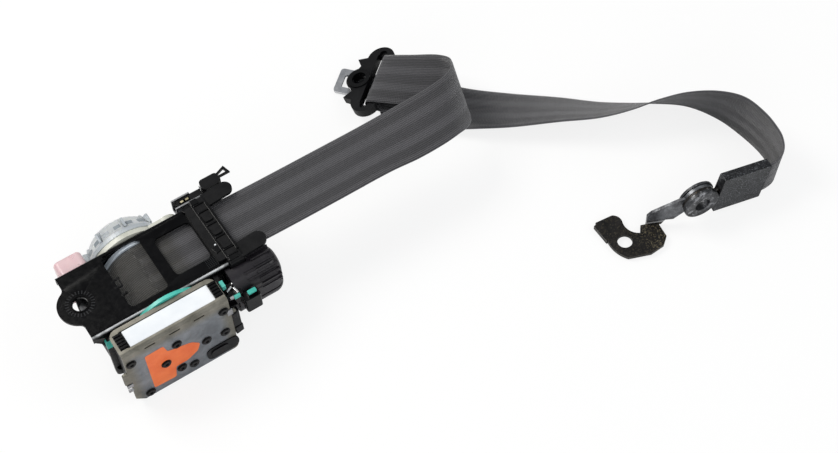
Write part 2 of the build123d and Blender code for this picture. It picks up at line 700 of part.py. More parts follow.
with BuildPart() as socket_terminals:
    with BuildSketch(Plane.XY.offset(bracket_top - 6.5)):
        with Locations((bracket_left + 9.5, socket_y)):
            with GridLocations(4.4, 0, 2, 1):
                Rectangle(2.6, 1.6)
    extrude(amount=5.6)
socket_terminals.part.label = "socket_terminals"
export_step(socket_terminals.part, "parts/socket_terminals.step")

with BuildPart() as harness_clip:
    with BuildSketch(Plane.XY.offset(bracket_top - 9)):
        with Locations((bracket_right + 8.4, socket_y + 1.8)):
            RectangleRounded(16, 10, 3)
    extrude(amount=12)
    with BuildSketch(Plane.XY.offset(bracket_top)):
        with BuildLine():
            Polyline((bracket_right + 11, socket_y + 2), (bracket_right + 26, socket_y + 2),
                     (bracket_right + 24, socket_y + 9.5), (bracket_right + 13, socket_y + 5), close=True)
        make_face()
        with BuildLine():
            Polyline((bracket_right + 16, socket_y + 3.6), (bracket_right + 23.6, socket_y + 3.6),
                     (bracket_right + 22.6, socket_y + 7.2), (bracket_right + 16, socket_y + 4.6),
                     close=True)
        make_face(mode=Mode.SUBTRACT)
    extrude(amount=1.8)
harness_clip.part.label = "harness_clip"
export_step(harness_clip.part, "parts/harness_clip.step")

# Free webbing. Each station is the belt's two edges along its lay: flat out of the guide,
# down to a fold, back to the pillar loop's bar and round it, through the tongue, then rolling
# up on edge into the standing bend at the floor anchor. The list wasn't chosen by hand: a
# measuring script worked most of it out from points picked on the photo (see report.md).
belt_edges = [
    ((54, 25, -4.6), (54, -25, -4.6)),
    ((80, 25, -4.6), (80, -25, -4.6)),
    ((105, 25, -4.6), (105, -25, -4.6)),
    ((124, 24.6, -4.6), (124, -25.4, -4.6)),
    ((165, 23.8, -4.6), (165, -26.2, -4.6)),
    ((210, 23.4, -4.6), (210, -26.6, -4.6)),
    ((255.7, 23, -4.4), (254.3, -27, -4.4)),
    ((287.7, 20.9, -0.2), (279.9, -28.1, -5.8)),
    ((318.1, 21.5, 0.4), (305.3, -26.1, -8.4)),
    ((334.2, 24.5, -1.2), (320.2, -22, -12.8)),
    ((345.9, 30.8, -6.2), (333.3, -14.9, -21.8)),
    ((355.7, 42.2, -15), (344.1, -3, -33)),
    ((360.2, 54.5, -24.6), (348.2, 9, -41.4)),
    ((357.8, 69.2, -35), (341, 23.2, -45)),
    ((344.2, 85.2, -42.6), (322.8, 40.3, -47.4)),
    ((330.5, 99.5, -48), (292.1, 67.5, -48)),
    ((328.2, 102.2, -49.5), (289.8, 70.2, -49.5)),
    ((327.3, 103.3, -53), (288.9, 71.3, -53)),
    ((328.2, 102.2, -56.5), (289.8, 70.2, -56.5)),
    ((330.5, 99.5, -58), (292.1, 67.5, -58)),
    ((340.8, 88.3, -60.6), (302.4, 56.3, -60.6)),
    ((344.6, 84.4, -61.7), (306.2, 52.4, -61.7)),
    ((349.1, 79.7, -68), (312.1, 46.1, -68)),
    ((351.7, 76.7, -68.9), (315.5, 42.3, -68.4)),
    ((365.5, 56.4, -69.2), (329, 22.4, -66.8)),
    ((376.3, 44.1, -69.3), (344.7, 6.9, -58.8)),
    ((402.4, 20.4, -69.3), (373.3, -16.3, -51.8)),
    ((431.8, -4.3, -69.3), (406.1, -38.9, -44.1)),
    ((456.6, -27.1, -69.3), (432.5, -57.6, -37.9)),
    ((477.3, -42.5, -69.3), (454.9, -68.3, -32.8)),
    ((495.9, -55.7, -69.3), (477.6, -75.8, -27.3)),
    ((514, -72, -69.3), (498.3, -84.8, -23.6)),
    ((526.4, -95.8, -69.3), (518.3, -100.2, -20.2)),
    ((531.6, -119.6, -69.3), (530.6, -116.5, -19.4)),
    ((533.3, -139.5, -69.3), (534.2, -137, -19.4)),
    ((532.2, -151.4, -69.3), (533.3, -151.4, -19.3)),
    ((529.1, -160.9, -69.3), (530.3, -163.8, -19.4)),
    ((524.6, -169, -69.3), (526.9, -170.8, -25.4)),
    ((513.6, -170.9, -69.3), (519.6, -171.7, -34.9)),
    ((505.8, -169.8, -67.9), (511.8, -170.7, -33.5)),
    ((477.7, -166.1, -63), (483.8, -166.9, -28.5)),
]
belt_runs = {"webbing_shoulder_run": (0, 8), "webbing_fold": (8, 19), "webbing_lap_run": (19, 40)}


def belt_sections(edge_pairs):
    """Plane and width of the belt at each pair of edges, square to its line there."""
    middles = [(Vector(*far) + Vector(*near)) * 0.5 for far, near in edge_pairs]
    sections = []
    for index, (far, near) in enumerate(edge_pairs):
        ahead = middles[min(index + 1, len(middles) - 1)]
        behind = middles[max(index - 1, 0)]
        across = Vector(*near) - Vector(*far)
        face = across.cross(ahead - behind)
        station = Plane(origin=middles[index], x_dir=across, z_dir=across.cross(face))
        sections.append((station, across.length))
    return sections


sections = belt_sections(belt_edges)
loft_station_count = 2
for run_name, (first, last) in belt_runs.items():
    with BuildPart() as webbing_run:
        for start in range(first, last, loft_station_count):
            for station, station_width in sections[start:min(start + loft_station_count, last) + 1]:
                with BuildSketch(station):
                    Rectangle(station_width, webbing_thickness)
            loft(ruled=True)
    webbing_run.part.label = run_name
    export_step(webbing_run.part, f"parts/{run_name}.step")

# Pillar loop, tilted about its slot bar: x runs outwards from the bar, y along it
loop_place = (311.3, 83.5, -53.0)
loop_heading = radians(129.9)
loop_tilt = radians(18)
loop_plane = Plane(origin=loop_place,
                   x_dir=(cos(loop_heading) * cos(loop_tilt), sin(loop_heading) * cos(loop_tilt),
                          -sin(loop_tilt)),
                   z_dir=(cos(loop_heading) * sin(loop_tilt), sin(loop_heading) * sin(loop_tilt),
                          cos(loop_tilt)))
loop_bar_radius = 3.4
loop_half_length = 34.7
loop_slot_half = 26.2
loop_slot_end = 9.4
loop_half_thickness = 3.6
loop_hole_x = 18.5
loop_bolt_radius = 6.0
bush_radius = 8.4
with BuildPart() as pillar_loop_cover:
    with BuildSketch(loop_plane.offset(-loop_half_thickness)):
        with BuildLine():
            Polyline((loop_slot_end, -25), (26.5, -20.5), (21.5, -13.5), (28, 0), (21.5, 13.5),
                     (26.5, 20.5), (loop_slot_end, 25), close=True)
        make_face()
        with Locations((loop_hole_x, 0)):
            Circle(11.5)
        with Locations((6, -(loop_half_length - 12)), (6, loop_half_length - 12)):
            Circle(12)
        with Locations((loop_slot_end / 2 - 5, 0)):
            Rectangle(loop_slot_end + 10, 2 * loop_slot_half, mode=Mode.SUBTRACT)
        with Locations((loop_hole_x, 0)):
            Circle(bush_radius, mode=Mode.SUBTRACT)
    extrude(amount=2 * loop_half_thickness)
    bar_plane = Plane(origin=loop_place, x_dir=loop_plane.x_dir, z_dir=loop_plane.y_dir)
    with BuildSketch(bar_plane.offset(-loop_slot_half - 2)):
        Circle(loop_bar_radius)
    extrude(amount=2 * loop_slot_half + 4)
    with BuildSketch(loop_plane.offset(loop_half_thickness)):
        with Locations((5, -27.4), (5, 27.4)):
            Circle(3.4)
    extrude(amount=-2.4, mode=Mode.SUBTRACT)
    with BuildSketch(loop_plane.offset(-loop_half_thickness)):
        with Locations((loop_slot_end + 4.5, 0)):
            RectangleRounded(6.2, 34, 1)
        with Locations((loop_hole_x, 0)):
            Circle(bush_radius + 2)
    extrude(amount=2.6, mode=Mode.SUBTRACT)
pillar_loop_cover.part.label = "pillar_loop_cover"
export_step(pillar_loop_cover.part, "parts/pillar_loop_cover.step")

with BuildPart() as pillar_loop_core:
    with BuildSketch(loop_plane.offset(-loop_half_thickness)):
        with Locations((loop_slot_end + 4.5, 0)):
            RectangleRounded(6, 33.8, 0.9)
        with Locations((loop_hole_x, 0)):
            Circle(bush_radius + 1.9)
            Circle(bush_radius + journal_clearance, mode=Mode.SUBTRACT)
    extrude(amount=2.5)
pillar_loop_core.part.label = "pillar_loop_core"
export_step(pillar_loop_core.part, "parts/pillar_loop_core.step")

with BuildPart() as pillar_loop_bush:
    with BuildSketch(loop_plane.offset(-loop_half_thickness)):
        with Locations((loop_hole_x, 0)):
            Circle(bush_radius - 0.05)
            Circle(loop_bolt_radius, mode=Mode.SUBTRACT)
    extrude(amount=2 * loop_half_thickness)
    with BuildSketch(loop_plane.offset(loop_half_thickness)):
        with Locations((loop_hole_x, 0)):
            Circle(bush_radius + 1.4)
            Circle(loop_bolt_radius, mode=Mode.SUBTRACT)
    extrude(amount=1.0)
pillar_loop_bush.part.label = "pillar_loop_bush"
export_step(pillar_loop_bush.part, "parts/pillar_loop_bush.step")

# Tongue on the lap run, lying under the pillar loop: x runs to the tip, y along its slot
tongue_place = (328.8, 66.3, -65.6)
tongue_tilt = radians(2)
tongue_plane = Plane(origin=tongue_place,
                     x_dir=(cos(loop_heading) * cos(tongue_tilt), sin(loop_heading) * cos(tongue_tilt),
                            -sin(tongue_tilt)),
                     z_dir=(cos(loop_heading) * sin(tongue_tilt), sin(loop_heading) * sin(tongue_tilt),
                            cos(tongue_tilt)))
tongue_thickness = 2.4
tongue_tip = 64.0
tongue_blade_half = 12.5
tongue_half_width = 31.5
tongue_slot_half = 26.2
with BuildPart() as tongue_plate:
    with BuildSketch(tongue_plane.offset(-tongue_thickness / 2)):
        with BuildLine():
            Polyline((-9, -tongue_half_width), (13, -tongue_half_width), (26, -tongue_blade_half),
                     (tongue_tip, -tongue_blade_half), (tongue_tip, tongue_blade_half),
                     (26, tongue_blade_half), (13, tongue_half_width), (-9, tongue_half_width), close=True)
        make_face()
        fillet(vertices().group_by(SortBy.DISTANCE)[-1], 3)
        Rectangle(9, 2 * tongue_slot_half, mode=Mode.SUBTRACT)
        with Locations((tongue_tip - 10, 0)):
            RectangleRounded(9.5, 13, 1.5, mode=Mode.SUBTRACT)
    extrude(amount=tongue_thickness)
tongue_plate.part.label = "tongue_plate"
export_step(tongue_plate.part, "parts/tongue_plate.step")

grip_thickness = 1.3
with BuildPart() as tongue_grip:
    with BuildSketch(tongue_plane.offset(tongue_thickness / 2)):
        with BuildLine():
            Polyline((-8, -tongue_half_width + 1), (13, -tongue_half_width + 1), (22, -tongue_blade_half),
                     (22, tongue_blade_half), (13, tongue_half_width - 1), (-8, tongue_half_width - 1),
                     (-8, tongue_slot_half + 1), (6, tongue_slot_half + 1), (6, -tongue_slot_half - 1),
                     (-8, -tongue_slot_half - 1), close=True)
        make_face()
    extrude(amount=grip_thickness)
tongue_grip.part.label = "tongue_grip"
export_step(tongue_grip.part, "parts/tongue_grip.step")

# Floor anchor: eyelet, end plate and sleeve on the belt, and the bracket that swivels on the eyelet
eyelet_place = (451.9, -161.4, -43.0)
anchor_heading = radians(-7.6)
sleeve_pitch = radians(-10)
anchor_normal = (sin(anchor_heading), -cos(anchor_heading), 0)
sleeve_plane = Plane(origin=eyelet_place,
                     x_dir=(cos(anchor_heading) * cos(sleeve_pitch), sin(anchor_heading) * cos(sleeve_pitch),
                            sin(sleeve_pitch)), z_dir=anchor_normal)
ring_radius = 14.0
ring_plate = 2.5
eyelet_bore = 6.5
eyelet_barrel = 9.0
eyelet_flange = 15.0
sleeve_left = eyelet_flange + 0.6
sleeve_length = 44.0
sleeve_bottom = -17.2
sleeve_top = 22.0
sleeve_thickness = 8.0
sleeve_wall = 1.4
with BuildPart() as end_plate:
    with BuildSketch(sleeve_plane):
        Circle(ring_radius)
        with Locations((sleeve_left / 2 + 6, 1)):
            Rectangle(sleeve_left + 8, 15)
        Circle(eyelet_barrel + journal_clearance, mode=Mode.SUBTRACT)
    extrude(amount=ring_plate)
    with BuildSketch(sleeve_plane):
        with Locations((sleeve_left + 9, (sleeve_bottom + sleeve_top) / 2)):
            Rectangle(9, sleeve_top - sleeve_bottom - 2 * sleeve_wall - 0.6)
    extrude(amount=ring_plate)
end_plate.part.label = "end_plate"
export_step(end_plate.part, "parts/end_plate.step")

with BuildPart() as swivel_eyelet:
    with BuildSketch(sleeve_plane.offset(-ring_plate - running_gap - 2.3)):
        Circle(eyelet_flange)
        Circle(eyelet_bore, mode=Mode.SUBTRACT)
    extrude(amount=2)
    with BuildSketch(sleeve_plane.offset(-ring_plate - running_gap - 1)):
        Circle(eyelet_barrel)
        Circle(eyelet_bore, mode=Mode.SUBTRACT)
    extrude(amount=2 * ring_plate + 2)
    with BuildSketch(sleeve_plane.offset(ring_plate + 0.2)):
        Circle(eyelet_flange)
        Circle(eyelet_bore, mode=Mode.SUBTRACT)
    extrude(amount=4)
    fillet(faces().sort_by(Axis.Y)[0].edges().sort_by(SortBy.LENGTH)[-1], 1.5)
swivel_eyelet.part.label = "swivel_eyelet"
export_step(swivel_eyelet.part, "parts/swivel_eyelet.step")

with BuildPart() as anchor_sleeve:
    with BuildSketch(sleeve_plane.offset(-sleeve_thickness / 2 + ring_plate / 2)):
        with Locations((sleeve_left + sleeve_length / 2, (sleeve_bottom + sleeve_top) / 2)):
            RectangleRounded(sleeve_length, sleeve_top - sleeve_bottom, 1)
    extrude(amount=sleeve_thickness)
    with BuildSketch(sleeve_plane.offset(-sleeve_thickness / 2 + ring_plate / 2 + sleeve_wall)):
        with Locations((sleeve_left + sleeve_length / 2 + 2, (sleeve_bottom + sleeve_top) / 2)):
            Rectangle(sleeve_length, sleeve_top - sleeve_bottom - 2 * sleeve_wall)
        with Locations((sleeve_left, 1)):
            Rectangle(6, 15.6)
    extrude(amount=sleeve_thickness - 2 * sleeve_wall, mode=Mode.SUBTRACT)
anchor_sleeve.part.label = "anchor_sleeve"
export_step(anchor_sleeve.part, "parts/anchor_sleeve.step")

arm_heading = radians(-24.3)
arm_root = 11.0
arm_normal = (sin(arm_heading), -cos(arm_heading), 0)
arm_thickness = 3.0
foot_top = -65.5
anchor_bolt_radius = 6.0
anchor_bolt_place = (390.8, -150.2)
with BuildPart() as anchor_bracket:
    with BuildSketch(sleeve_plane.offset(-ring_plate - 0.2)):
        Circle(ring_radius)
    extrude(amount=ring_plate)
    arm_place = (eyelet_place[0] - arm_root * cos(anchor_heading),
                 eyelet_place[1] - arm_root * sin(anchor_heading), eyelet_place[2])
    arm_plane = Plane(origin=arm_place, x_dir=(cos(arm_heading), sin(arm_heading), 0), z_dir=arm_normal)
    with BuildSketch(arm_plane.offset(-0.2)):
        with BuildLine():
            Polyline((2, -9), (-8.5, -19.7), (-15, -19), (-18, -24.5), (-30, -24.5), (-30, -11),
                     (-26.5, -6.5), (-2, 7), (2, 8), close=True)
        make_face()
    extrude(amount=-ring_plate)
    # Foot outline, from the same measuring script as the belt's edges
    with BuildSketch(Plane.XY.offset(foot_top)):
        with BuildLine():
            Line((409.8, -145.1), (422.8, -149.7))
            Line((422.8, -149.7), (420.8, -164.6))
            Line((420.8, -164.6), (414.2, -169.8))
            Line((414.2, -169.8), (401.6, -170.6))
            Line((401.6, -170.6), (384.3, -163.9))
            ThreePointArc((384.3, -163.9), (380.3, -155.9), (379.4, -144.4))
            Line((379.4, -144.4), (381.8, -123.3))
            Line((381.8, -123.3), (396.5, -124.9))
            ThreePointArc((396.5, -124.9), (399.6, -128), (399.7, -135.1))
            ThreePointArc((399.7, -135.1), (401.6, -147.4), (405.4, -150.7))
            Line((405.4, -150.7), (409.8, -145.1))
        make_face()
        with Locations(anchor_bolt_place):
            Circle(anchor_bolt_radius, mode=Mode.SUBTRACT)
    extrude(amount=-arm_thickness)
    with BuildSketch(Plane.XY.offset(foot_top)):
        with Locations((380.6, -133.5)):
            Rectangle(arm_thickness, 17)
    extrude(amount=-4.5)
    with BuildSketch(sleeve_plane.offset(-ring_plate - arm_thickness - 2)):
        Circle(eyelet_flange + 0.3)
    extrude(amount=arm_thickness + 1.8, mode=Mode.SUBTRACT)
    with BuildSketch(sleeve_plane.offset(-0.2)):
        Circle(eyelet_flange + 2)
    extrude(amount=arm_thickness + 2, mode=Mode.SUBTRACT)
    with BuildSketch(sleeve_plane.offset(-ring_plate - 0.2)):
        Circle(ring_radius)
    extrude(amount=ring_plate)
    with BuildSketch(sleeve_plane.offset(-3 * ring_plate)):
        Circle(eyelet_barrel + journal_clearance)
    extrude(amount=4 * ring_plate, mode=Mode.SUBTRACT)
anchor_bracket.part.label = "anchor_bracket"
export_step(anchor_bracket.part, "parts/anchor_bracket.step")
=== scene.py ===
import math

import bmesh
import bpy
from mathutils import Matrix, Vector


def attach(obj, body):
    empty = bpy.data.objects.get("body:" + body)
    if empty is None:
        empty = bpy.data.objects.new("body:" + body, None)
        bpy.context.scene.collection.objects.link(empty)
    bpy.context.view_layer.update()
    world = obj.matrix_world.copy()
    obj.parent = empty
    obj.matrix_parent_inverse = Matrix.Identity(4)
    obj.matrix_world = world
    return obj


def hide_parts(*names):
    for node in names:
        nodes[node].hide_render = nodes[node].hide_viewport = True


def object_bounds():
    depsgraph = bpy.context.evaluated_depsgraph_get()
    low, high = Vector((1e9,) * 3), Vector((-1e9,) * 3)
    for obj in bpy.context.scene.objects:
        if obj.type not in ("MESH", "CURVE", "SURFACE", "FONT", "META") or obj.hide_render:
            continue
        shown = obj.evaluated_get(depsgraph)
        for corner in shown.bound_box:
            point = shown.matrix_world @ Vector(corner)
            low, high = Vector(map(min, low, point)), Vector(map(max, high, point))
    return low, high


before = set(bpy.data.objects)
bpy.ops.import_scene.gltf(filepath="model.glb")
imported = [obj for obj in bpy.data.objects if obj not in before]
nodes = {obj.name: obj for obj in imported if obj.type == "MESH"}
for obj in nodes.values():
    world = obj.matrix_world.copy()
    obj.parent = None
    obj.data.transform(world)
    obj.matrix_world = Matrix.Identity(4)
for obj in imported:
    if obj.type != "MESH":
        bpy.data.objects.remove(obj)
cad_low, cad_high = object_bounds()

# Driving values, lengths in metres
MM = 0.001
BELT_WIDTH = 0.050
SPOOL_X, SPOOL_Z = 0.054, -0.030
TEAL_REACH = 0.0346
# Pitches of the weave, drawn coarser than the real yarns so that they show in the render
WARP_PITCH = 0.00165
WEFT_PITCH = 0.0011
TWILL_PITCH = 0.00125
# The roll's two tones, and how far they go up the free belt
ROLL_DARK, ROLL_LIGHT = "070706", "4e4c48"
ROLL_REACH = 0.026
# Half the belt's thickness at its edge, beside the edge and further in, as shares of the whole
EDGE_LIFTS = (0.3, 0.56, 0.5)


# Colours and materials

def srgb(code):
    """Linear colour of an sRGB hex code."""
    out = []
    for i in (0, 2, 4):
        v = int(code[i:i + 2], 16) / 255
        out.append(v / 12.92 if v <= 0.04045 else ((v + 0.055) / 1.055) ** 2.4)
    return (out[0], out[1], out[2], 1.0)


def new_material(name):
    """Material with its node tree, shader and a place to hang more nodes."""
    material = bpy.data.materials.new(name)
    material.use_nodes = True
    tree = material.node_tree
    shader = tree.nodes["Principled BSDF"]
    return material, tree, shader


def calc(tree, operation, a, b=None, c=None):
    """Math node on sockets or numbers. Gives its output socket."""
    node = tree.nodes.new("ShaderNodeMath")
    node.operation = operation
    for index, value in enumerate((a, b, c)):
        if value is None:
            continue
        if isinstance(value, (int, float)):
            node.inputs[index].default_value = value
        else:
            tree.links.new(value, node.inputs[index])
    return node.outputs[0]


def mix_colour(tree, factor, first, second):
    """Mix of two colours or colour sockets."""
    node = tree.nodes.new("ShaderNodeMix")
    node.data_type = "RGBA"
    for socket, value in ((node.inputs[0], factor), (node.inputs[6], first), (node.inputs[7], second)):
        if isinstance(value, (tuple, float, int)):
            socket.default_value = value
        else:
            tree.links.new(value, socket)
    return node.outputs[2]


def ramp(tree, value, low, high, low_out=0.0, high_out=1.0):
    """Value mapped from low..high, clamped."""
    node = tree.nodes.new("ShaderNodeMapRange")
    node.inputs["From Min"].default_value = low
    node.inputs["From Max"].default_value = high
    node.inputs["To Min"].default_value = low_out
    node.inputs["To Max"].default_value = high_out
    tree.links.new(value, node.inputs["Value"])
    return node.outputs[0]


def noise(tree, size, detail=3.0, roughness=0.55, stretch=(1, 1, 1), distortion=0.0):
    """Noise whose features are about size metres across, in object coordinates."""
    place = tree.nodes.new("ShaderNodeTexCoord")
    mapping = tree.nodes.new("ShaderNodeMapping")
    mapping.inputs["Scale"].default_value = stretch
    tree.links.new(place.outputs["Object"], mapping.inputs["Vector"])
    node = tree.nodes.new("ShaderNodeTexNoise")
    node.inputs["Scale"].default_value = 1 / size
    node.inputs["Detail"].default_value = detail
    node.inputs["Roughness"].default_value = roughness
    node.inputs["Distortion"].default_value = distortion
    tree.links.new(mapping.outputs[0], node.inputs["Vector"])
    return node.outputs["Fac"]


def bump(tree, shader, height, distance, strength=1.0):
    """Bump on the shader's normal, its height in metres at value 1."""
    node = tree.nodes.new("ShaderNodeBump")
    node.inputs["Strength"].default_value = strength
    node.inputs["Distance"].default_value = distance
    tree.links.new(height, node.inputs["Height"])
    tree.links.new(node.outputs[0], shader.inputs["Normal"])


def plastic(name, colour, second, grain=0.0007, depth=0.00004, low=0.35, high=0.5, patch=0.02, shine=0.5):
    """Moulded plastic: fine grain, slow colour drift and uneven gloss."""
    material, tree, shader = new_material(name)
    drift = ramp(tree, noise(tree, patch, 4), 0.38, 0.66)
    tree.links.new(mix_colour(tree, drift, srgb(colour), srgb(second)), shader.inputs["Base Color"])
    tree.links.new(ramp(tree, noise(tree, patch / 3, 5), 0.3, 0.7, low, high), shader.inputs["Roughness"])
    shader.inputs["Specular IOR Level"].default_value = shine
    bump(tree, shader, noise(tree, grain, 2), depth)
    return material


def sheet_metal(name, colour, second, low, high, grain=0.0012, depth=0.00003, patch=0.012, metallic=1.0,
                stretch=(1, 1, 1)):
    """Bare or plated steel with mottled tone and brushed grain."""
    material, tree, shader = new_material(name)
    drift = ramp(tree, noise(tree, patch, 6, 0.65, distortion=0.6), 0.36, 0.64)
    tree.links.new(mix_colour(tree, drift, srgb(colour), srgb(second)), shader.inputs["Base Color"])
    tree.links.new(ramp(tree, noise(tree, patch / 2, 5), 0.3, 0.7, low, high), shader.inputs["Roughness"])
    shader.inputs["Metallic"].default_value = metallic
    bump(tree, shader, noise(tree, grain, 3, stretch=stretch), depth)
    return material


def ecoat(name, colour="030304", second="08080a", low=0.12, high=0.24, bend=None):
    """Black electrocoat with faint orange peel and pale scuffs, and a painted highlight along a bend at this
    Y.
    """
    material, tree, shader = new_material(name)
    drift = ramp(tree, noise(tree, 0.02, 4), 0.35, 0.7)
    base = mix_colour(tree, drift, srgb(colour), srgb(second))
    scuff = ramp(tree, noise(tree, 0.006, 8, 0.75, stretch=(1, 4, 1)), 0.74, 0.82, 0.0, 0.25)
    base = mix_colour(tree, scuff, base, srgb("3a3a3c"))
    if bend is not None:
        # Painted highlight: a pale line along the bend at this Y, on its upper part, in patches
        place = tree.nodes.new("ShaderNodeTexCoord")
        split = tree.nodes.new("ShaderNodeSeparateXYZ")
        tree.links.new(place.outputs["Object"], split.inputs[0])
        away = calc(tree, "ABSOLUTE", calc(tree, "SUBTRACT", split.outputs[1], bend))
        line = ramp(tree, away, 0.00025, 0.00075, 1.0, 0.0)
        highlight_low, highlight_high = -0.0034, -0.0026
        above = ramp(tree, split.outputs[2], highlight_low, highlight_high)
        patchy = ramp(tree, noise(tree, 0.012, 3), 0.35, 0.5, 0.35, 1.0)
        painted_highlight = calc(tree, "MULTIPLY", calc(tree, "MULTIPLY", line, above), patchy)
        base = mix_colour(tree, painted_highlight, base, srgb("e6e8ea"))
    tree.links.new(base, shader.inputs["Base Color"])
    tree.links.new(ramp(tree, noise(tree, 0.004, 4), 0.3, 0.7, low, high), shader.inputs["Roughness"])
    shader.inputs["Specular IOR Level"].default_value = 0.14
    bump(tree, shader, noise(tree, 0.0025, 3), 0.000006)
    return material


def webbing_material(name, dark, light, bands, from_roll=False):
    """Woven belt. UV is in metres: u across the belt, v along it.

    Each band is its middle, half width, strength and colour. A belt that comes off the roll
    keeps the roll's tone up to ROLL_REACH.
    """
    material, tree, shader = new_material(name)
    uv = tree.nodes.new("ShaderNodeUVMap")
    uv.uv_map = "belt"
    split = tree.nodes.new("ShaderNodeSeparateXYZ")
    tree.links.new(uv.outputs[0], split.inputs[0])
    across, along = split.outputs[0], split.outputs[1]
    # Warp ribs along the belt, weft across it, and a slanted twill that turns back at each band
    zigzag = calc(tree, "PINGPONG", across, BELT_WIDTH / 8)
    slanted = calc(tree, "ADD", along, calc(tree, "MULTIPLY", zigzag, 0.9))
    twill = calc(tree, "SINE", calc(tree, "MULTIPLY", slanted, 2 * math.pi / TWILL_PITCH))
    weft = calc(tree, "SINE", calc(tree, "MULTIPLY", along, 2 * math.pi / WEFT_PITCH))
    warp = calc(tree, "SINE", calc(tree, "MULTIPLY", across, 2 * math.pi / WARP_PITCH))
    height = calc(tree, "ADD", calc(tree, "MULTIPLY", twill, 0.35),
                  calc(tree, "ADD", calc(tree, "MULTIPLY", weft, 0.25), calc(tree, "MULTIPLY", warp, 0.5)))
    tone = ramp(tree, height, -1.0, 1.0)
    base = mix_colour(tree, tone, srgb(dark), srgb(light))
    if from_roll:
        roll = mix_colour(tree, tone, srgb(ROLL_DARK), srgb(ROLL_LIGHT))
        base = mix_colour(tree, ramp(tree, along, ROLL_REACH, ROLL_REACH + 0.008), roll, base)
    for middle, half, strength, code in bands:
        away = calc(tree, "ABSOLUTE", calc(tree, "SUBTRACT", across, middle))
        inside = ramp(tree, away, half, half + 0.0012, strength, 0.0)
        base = mix_colour(tree, inside, base, srgb(code))
    cloud = ramp(tree, noise(tree, 0.03, 4), 0.35, 0.75, 0.0, 0.22)
    base = mix_colour(tree, cloud, base, srgb("414145"))
    tree.links.new(base, shader.inputs["Base Color"])
    tree.links.new(ramp(tree, noise(tree, 0.01, 4), 0.3, 0.7, 0.52, 0.66), shader.inputs["Roughness"])
    shader.inputs["Sheen Weight"].default_value = 0.35
    shader.inputs["Sheen Roughness"].default_value = 0.4
    shader.inputs["Specular IOR Level"].default_value = 0.35
    bump(tree, shader, height, 0.00022, 1.0)
    return material


def object_axes(tree):
    """Sockets of the object's X, Y and Z in metres."""
    place = tree.nodes.new("ShaderNodeTexCoord")
    split = tree.nodes.new("ShaderNodeSeparateXYZ")
    tree.links.new(place.outputs["Object"], split.inputs[0])
    return split.outputs


def zinc_cover(name):
    """Zinc plated sheet: bluish grey in its middle, warmer and darker along its rim, with fine mottle."""
    material, tree, shader = new_material(name)
    x, y, z = object_axes(tree)
    blotch = ramp(tree, noise(tree, 0.014, 5, 0.6, distortion=0.4), 0.35, 0.65)
    middle = mix_colour(tree, blotch, srgb("6d7176"), srgb("8b8f94"))
    rim = mix_colour(tree, blotch, srgb("67655c"), srgb("86837a"))
    cover_middle, side_inner, side_outer = 0.048, 0.034, 0.041
    top_inner, top_outer = -0.012, -0.004
    from_middle = calc(tree, "ABSOLUTE", calc(tree, "SUBTRACT", x, cover_middle))
    sideways = ramp(tree, from_middle, side_inner, side_outer)
    upright = ramp(tree, z, top_inner, top_outer)
    edge = calc(tree, "MAXIMUM", sideways, upright)
    base = mix_colour(tree, edge, middle, rim)
    fleck = ramp(tree, noise(tree, 0.0016, 5, 0.7), 0.60, 0.70, 0.0, 0.5)
    base = mix_colour(tree, fleck, base, srgb("4b4a46"))
    tree.links.new(base, shader.inputs["Base Color"])
    tree.links.new(ramp(tree, noise(tree, 0.005, 5), 0.3, 0.7, 0.36, 0.52), shader.inputs["Roughness"])
    shader.inputs["Metallic"].default_value = 0.75
    bump(tree, shader, noise(tree, 0.0011, 3), 0.00003)
    return material


def teal_disc(name, centre_x, centre_z, reach):
    """Black moulding whose round disc, within this reach of the spool's axis, and end stops are teal."""
    material, tree, shader = new_material(name)
    x, y, z = object_axes(tree)
    dx = calc(tree, "SUBTRACT", x, centre_x)
    dz = calc(tree, "SUBTRACT", z, centre_z)
    square = calc(tree, "ADD", calc(tree, "MULTIPLY", dx, dx), calc(tree, "MULTIPLY", dz, dz))
    inside = ramp(tree, calc(tree, "SQRT", square), reach, reach + 0.0003, 1.0, 0.0)
    stop_distance, stop_depth, stop_half_height, blend = 0.0405, 0.014, 0.005, 0.0003
    far_out = ramp(tree, calc(tree, "ABSOLUTE", dx), stop_distance, stop_distance + blend)
    from_stop = calc(tree, "ABSOLUTE", calc(tree, "ADD", z, stop_depth))
    stops = calc(tree, "MULTIPLY", far_out,
                 ramp(tree, from_stop, stop_half_height, stop_half_height + blend, 1.0, 0.0))
    teal = mix_colour(tree, ramp(tree, noise(tree, 0.02, 4), 0.38, 0.66), srgb("2fa89a"), srgb("55c3b5"))
    tree.links.new(mix_colour(tree, calc(tree, "MAXIMUM", inside, stops), srgb("0a0a0b"), teal),
                   shader.inputs["Base Color"])
    tree.links.new(ramp(tree, noise(tree, 0.007, 5), 0.3, 0.7, 0.3, 0.42), shader.inputs["Roughness"])
    bump(tree, shader, noise(tree, 0.0007, 2), 0.00002)
    return material


# Moulded plastics. Fine grained nylon: nearly black with a soft sheen
black_plastic = plastic("black_plastic_fine", "070709", "101012", low=0.3, high=0.44, shine=0.2)
# The same nylon from a polished mould: darker, with sharper highlights
black_glossy = plastic("black_plastic_smooth", "060607", "0e0e10", low=0.14, high=0.26, depth=0.00002,
                       shine=0.22)
# Ribbed cover: the dark plastic with a faint plum tint
plum_plastic = plastic("plum_plastic_ribbed", "19171b", "252227", low=0.28, high=0.42, shine=0.4)
# Dyed acetal: an even green blue, smooth
teal_plastic = plastic("teal_plastic_disc", "33a89a", "5cc4b6", low=0.28, high=0.4, depth=0.00002)
# Undyed plastic: warm pale grey, dull
cream_plastic = plastic("cream_plastic_plate", "bcbdb2", "d6d6cc", low=0.35, high=0.5)
# Steels. Electrocoated pressing: smooth black, with a painted highlight along one bend
frame_coat = ecoat("frame_electrocoat", bend=-0.0303)
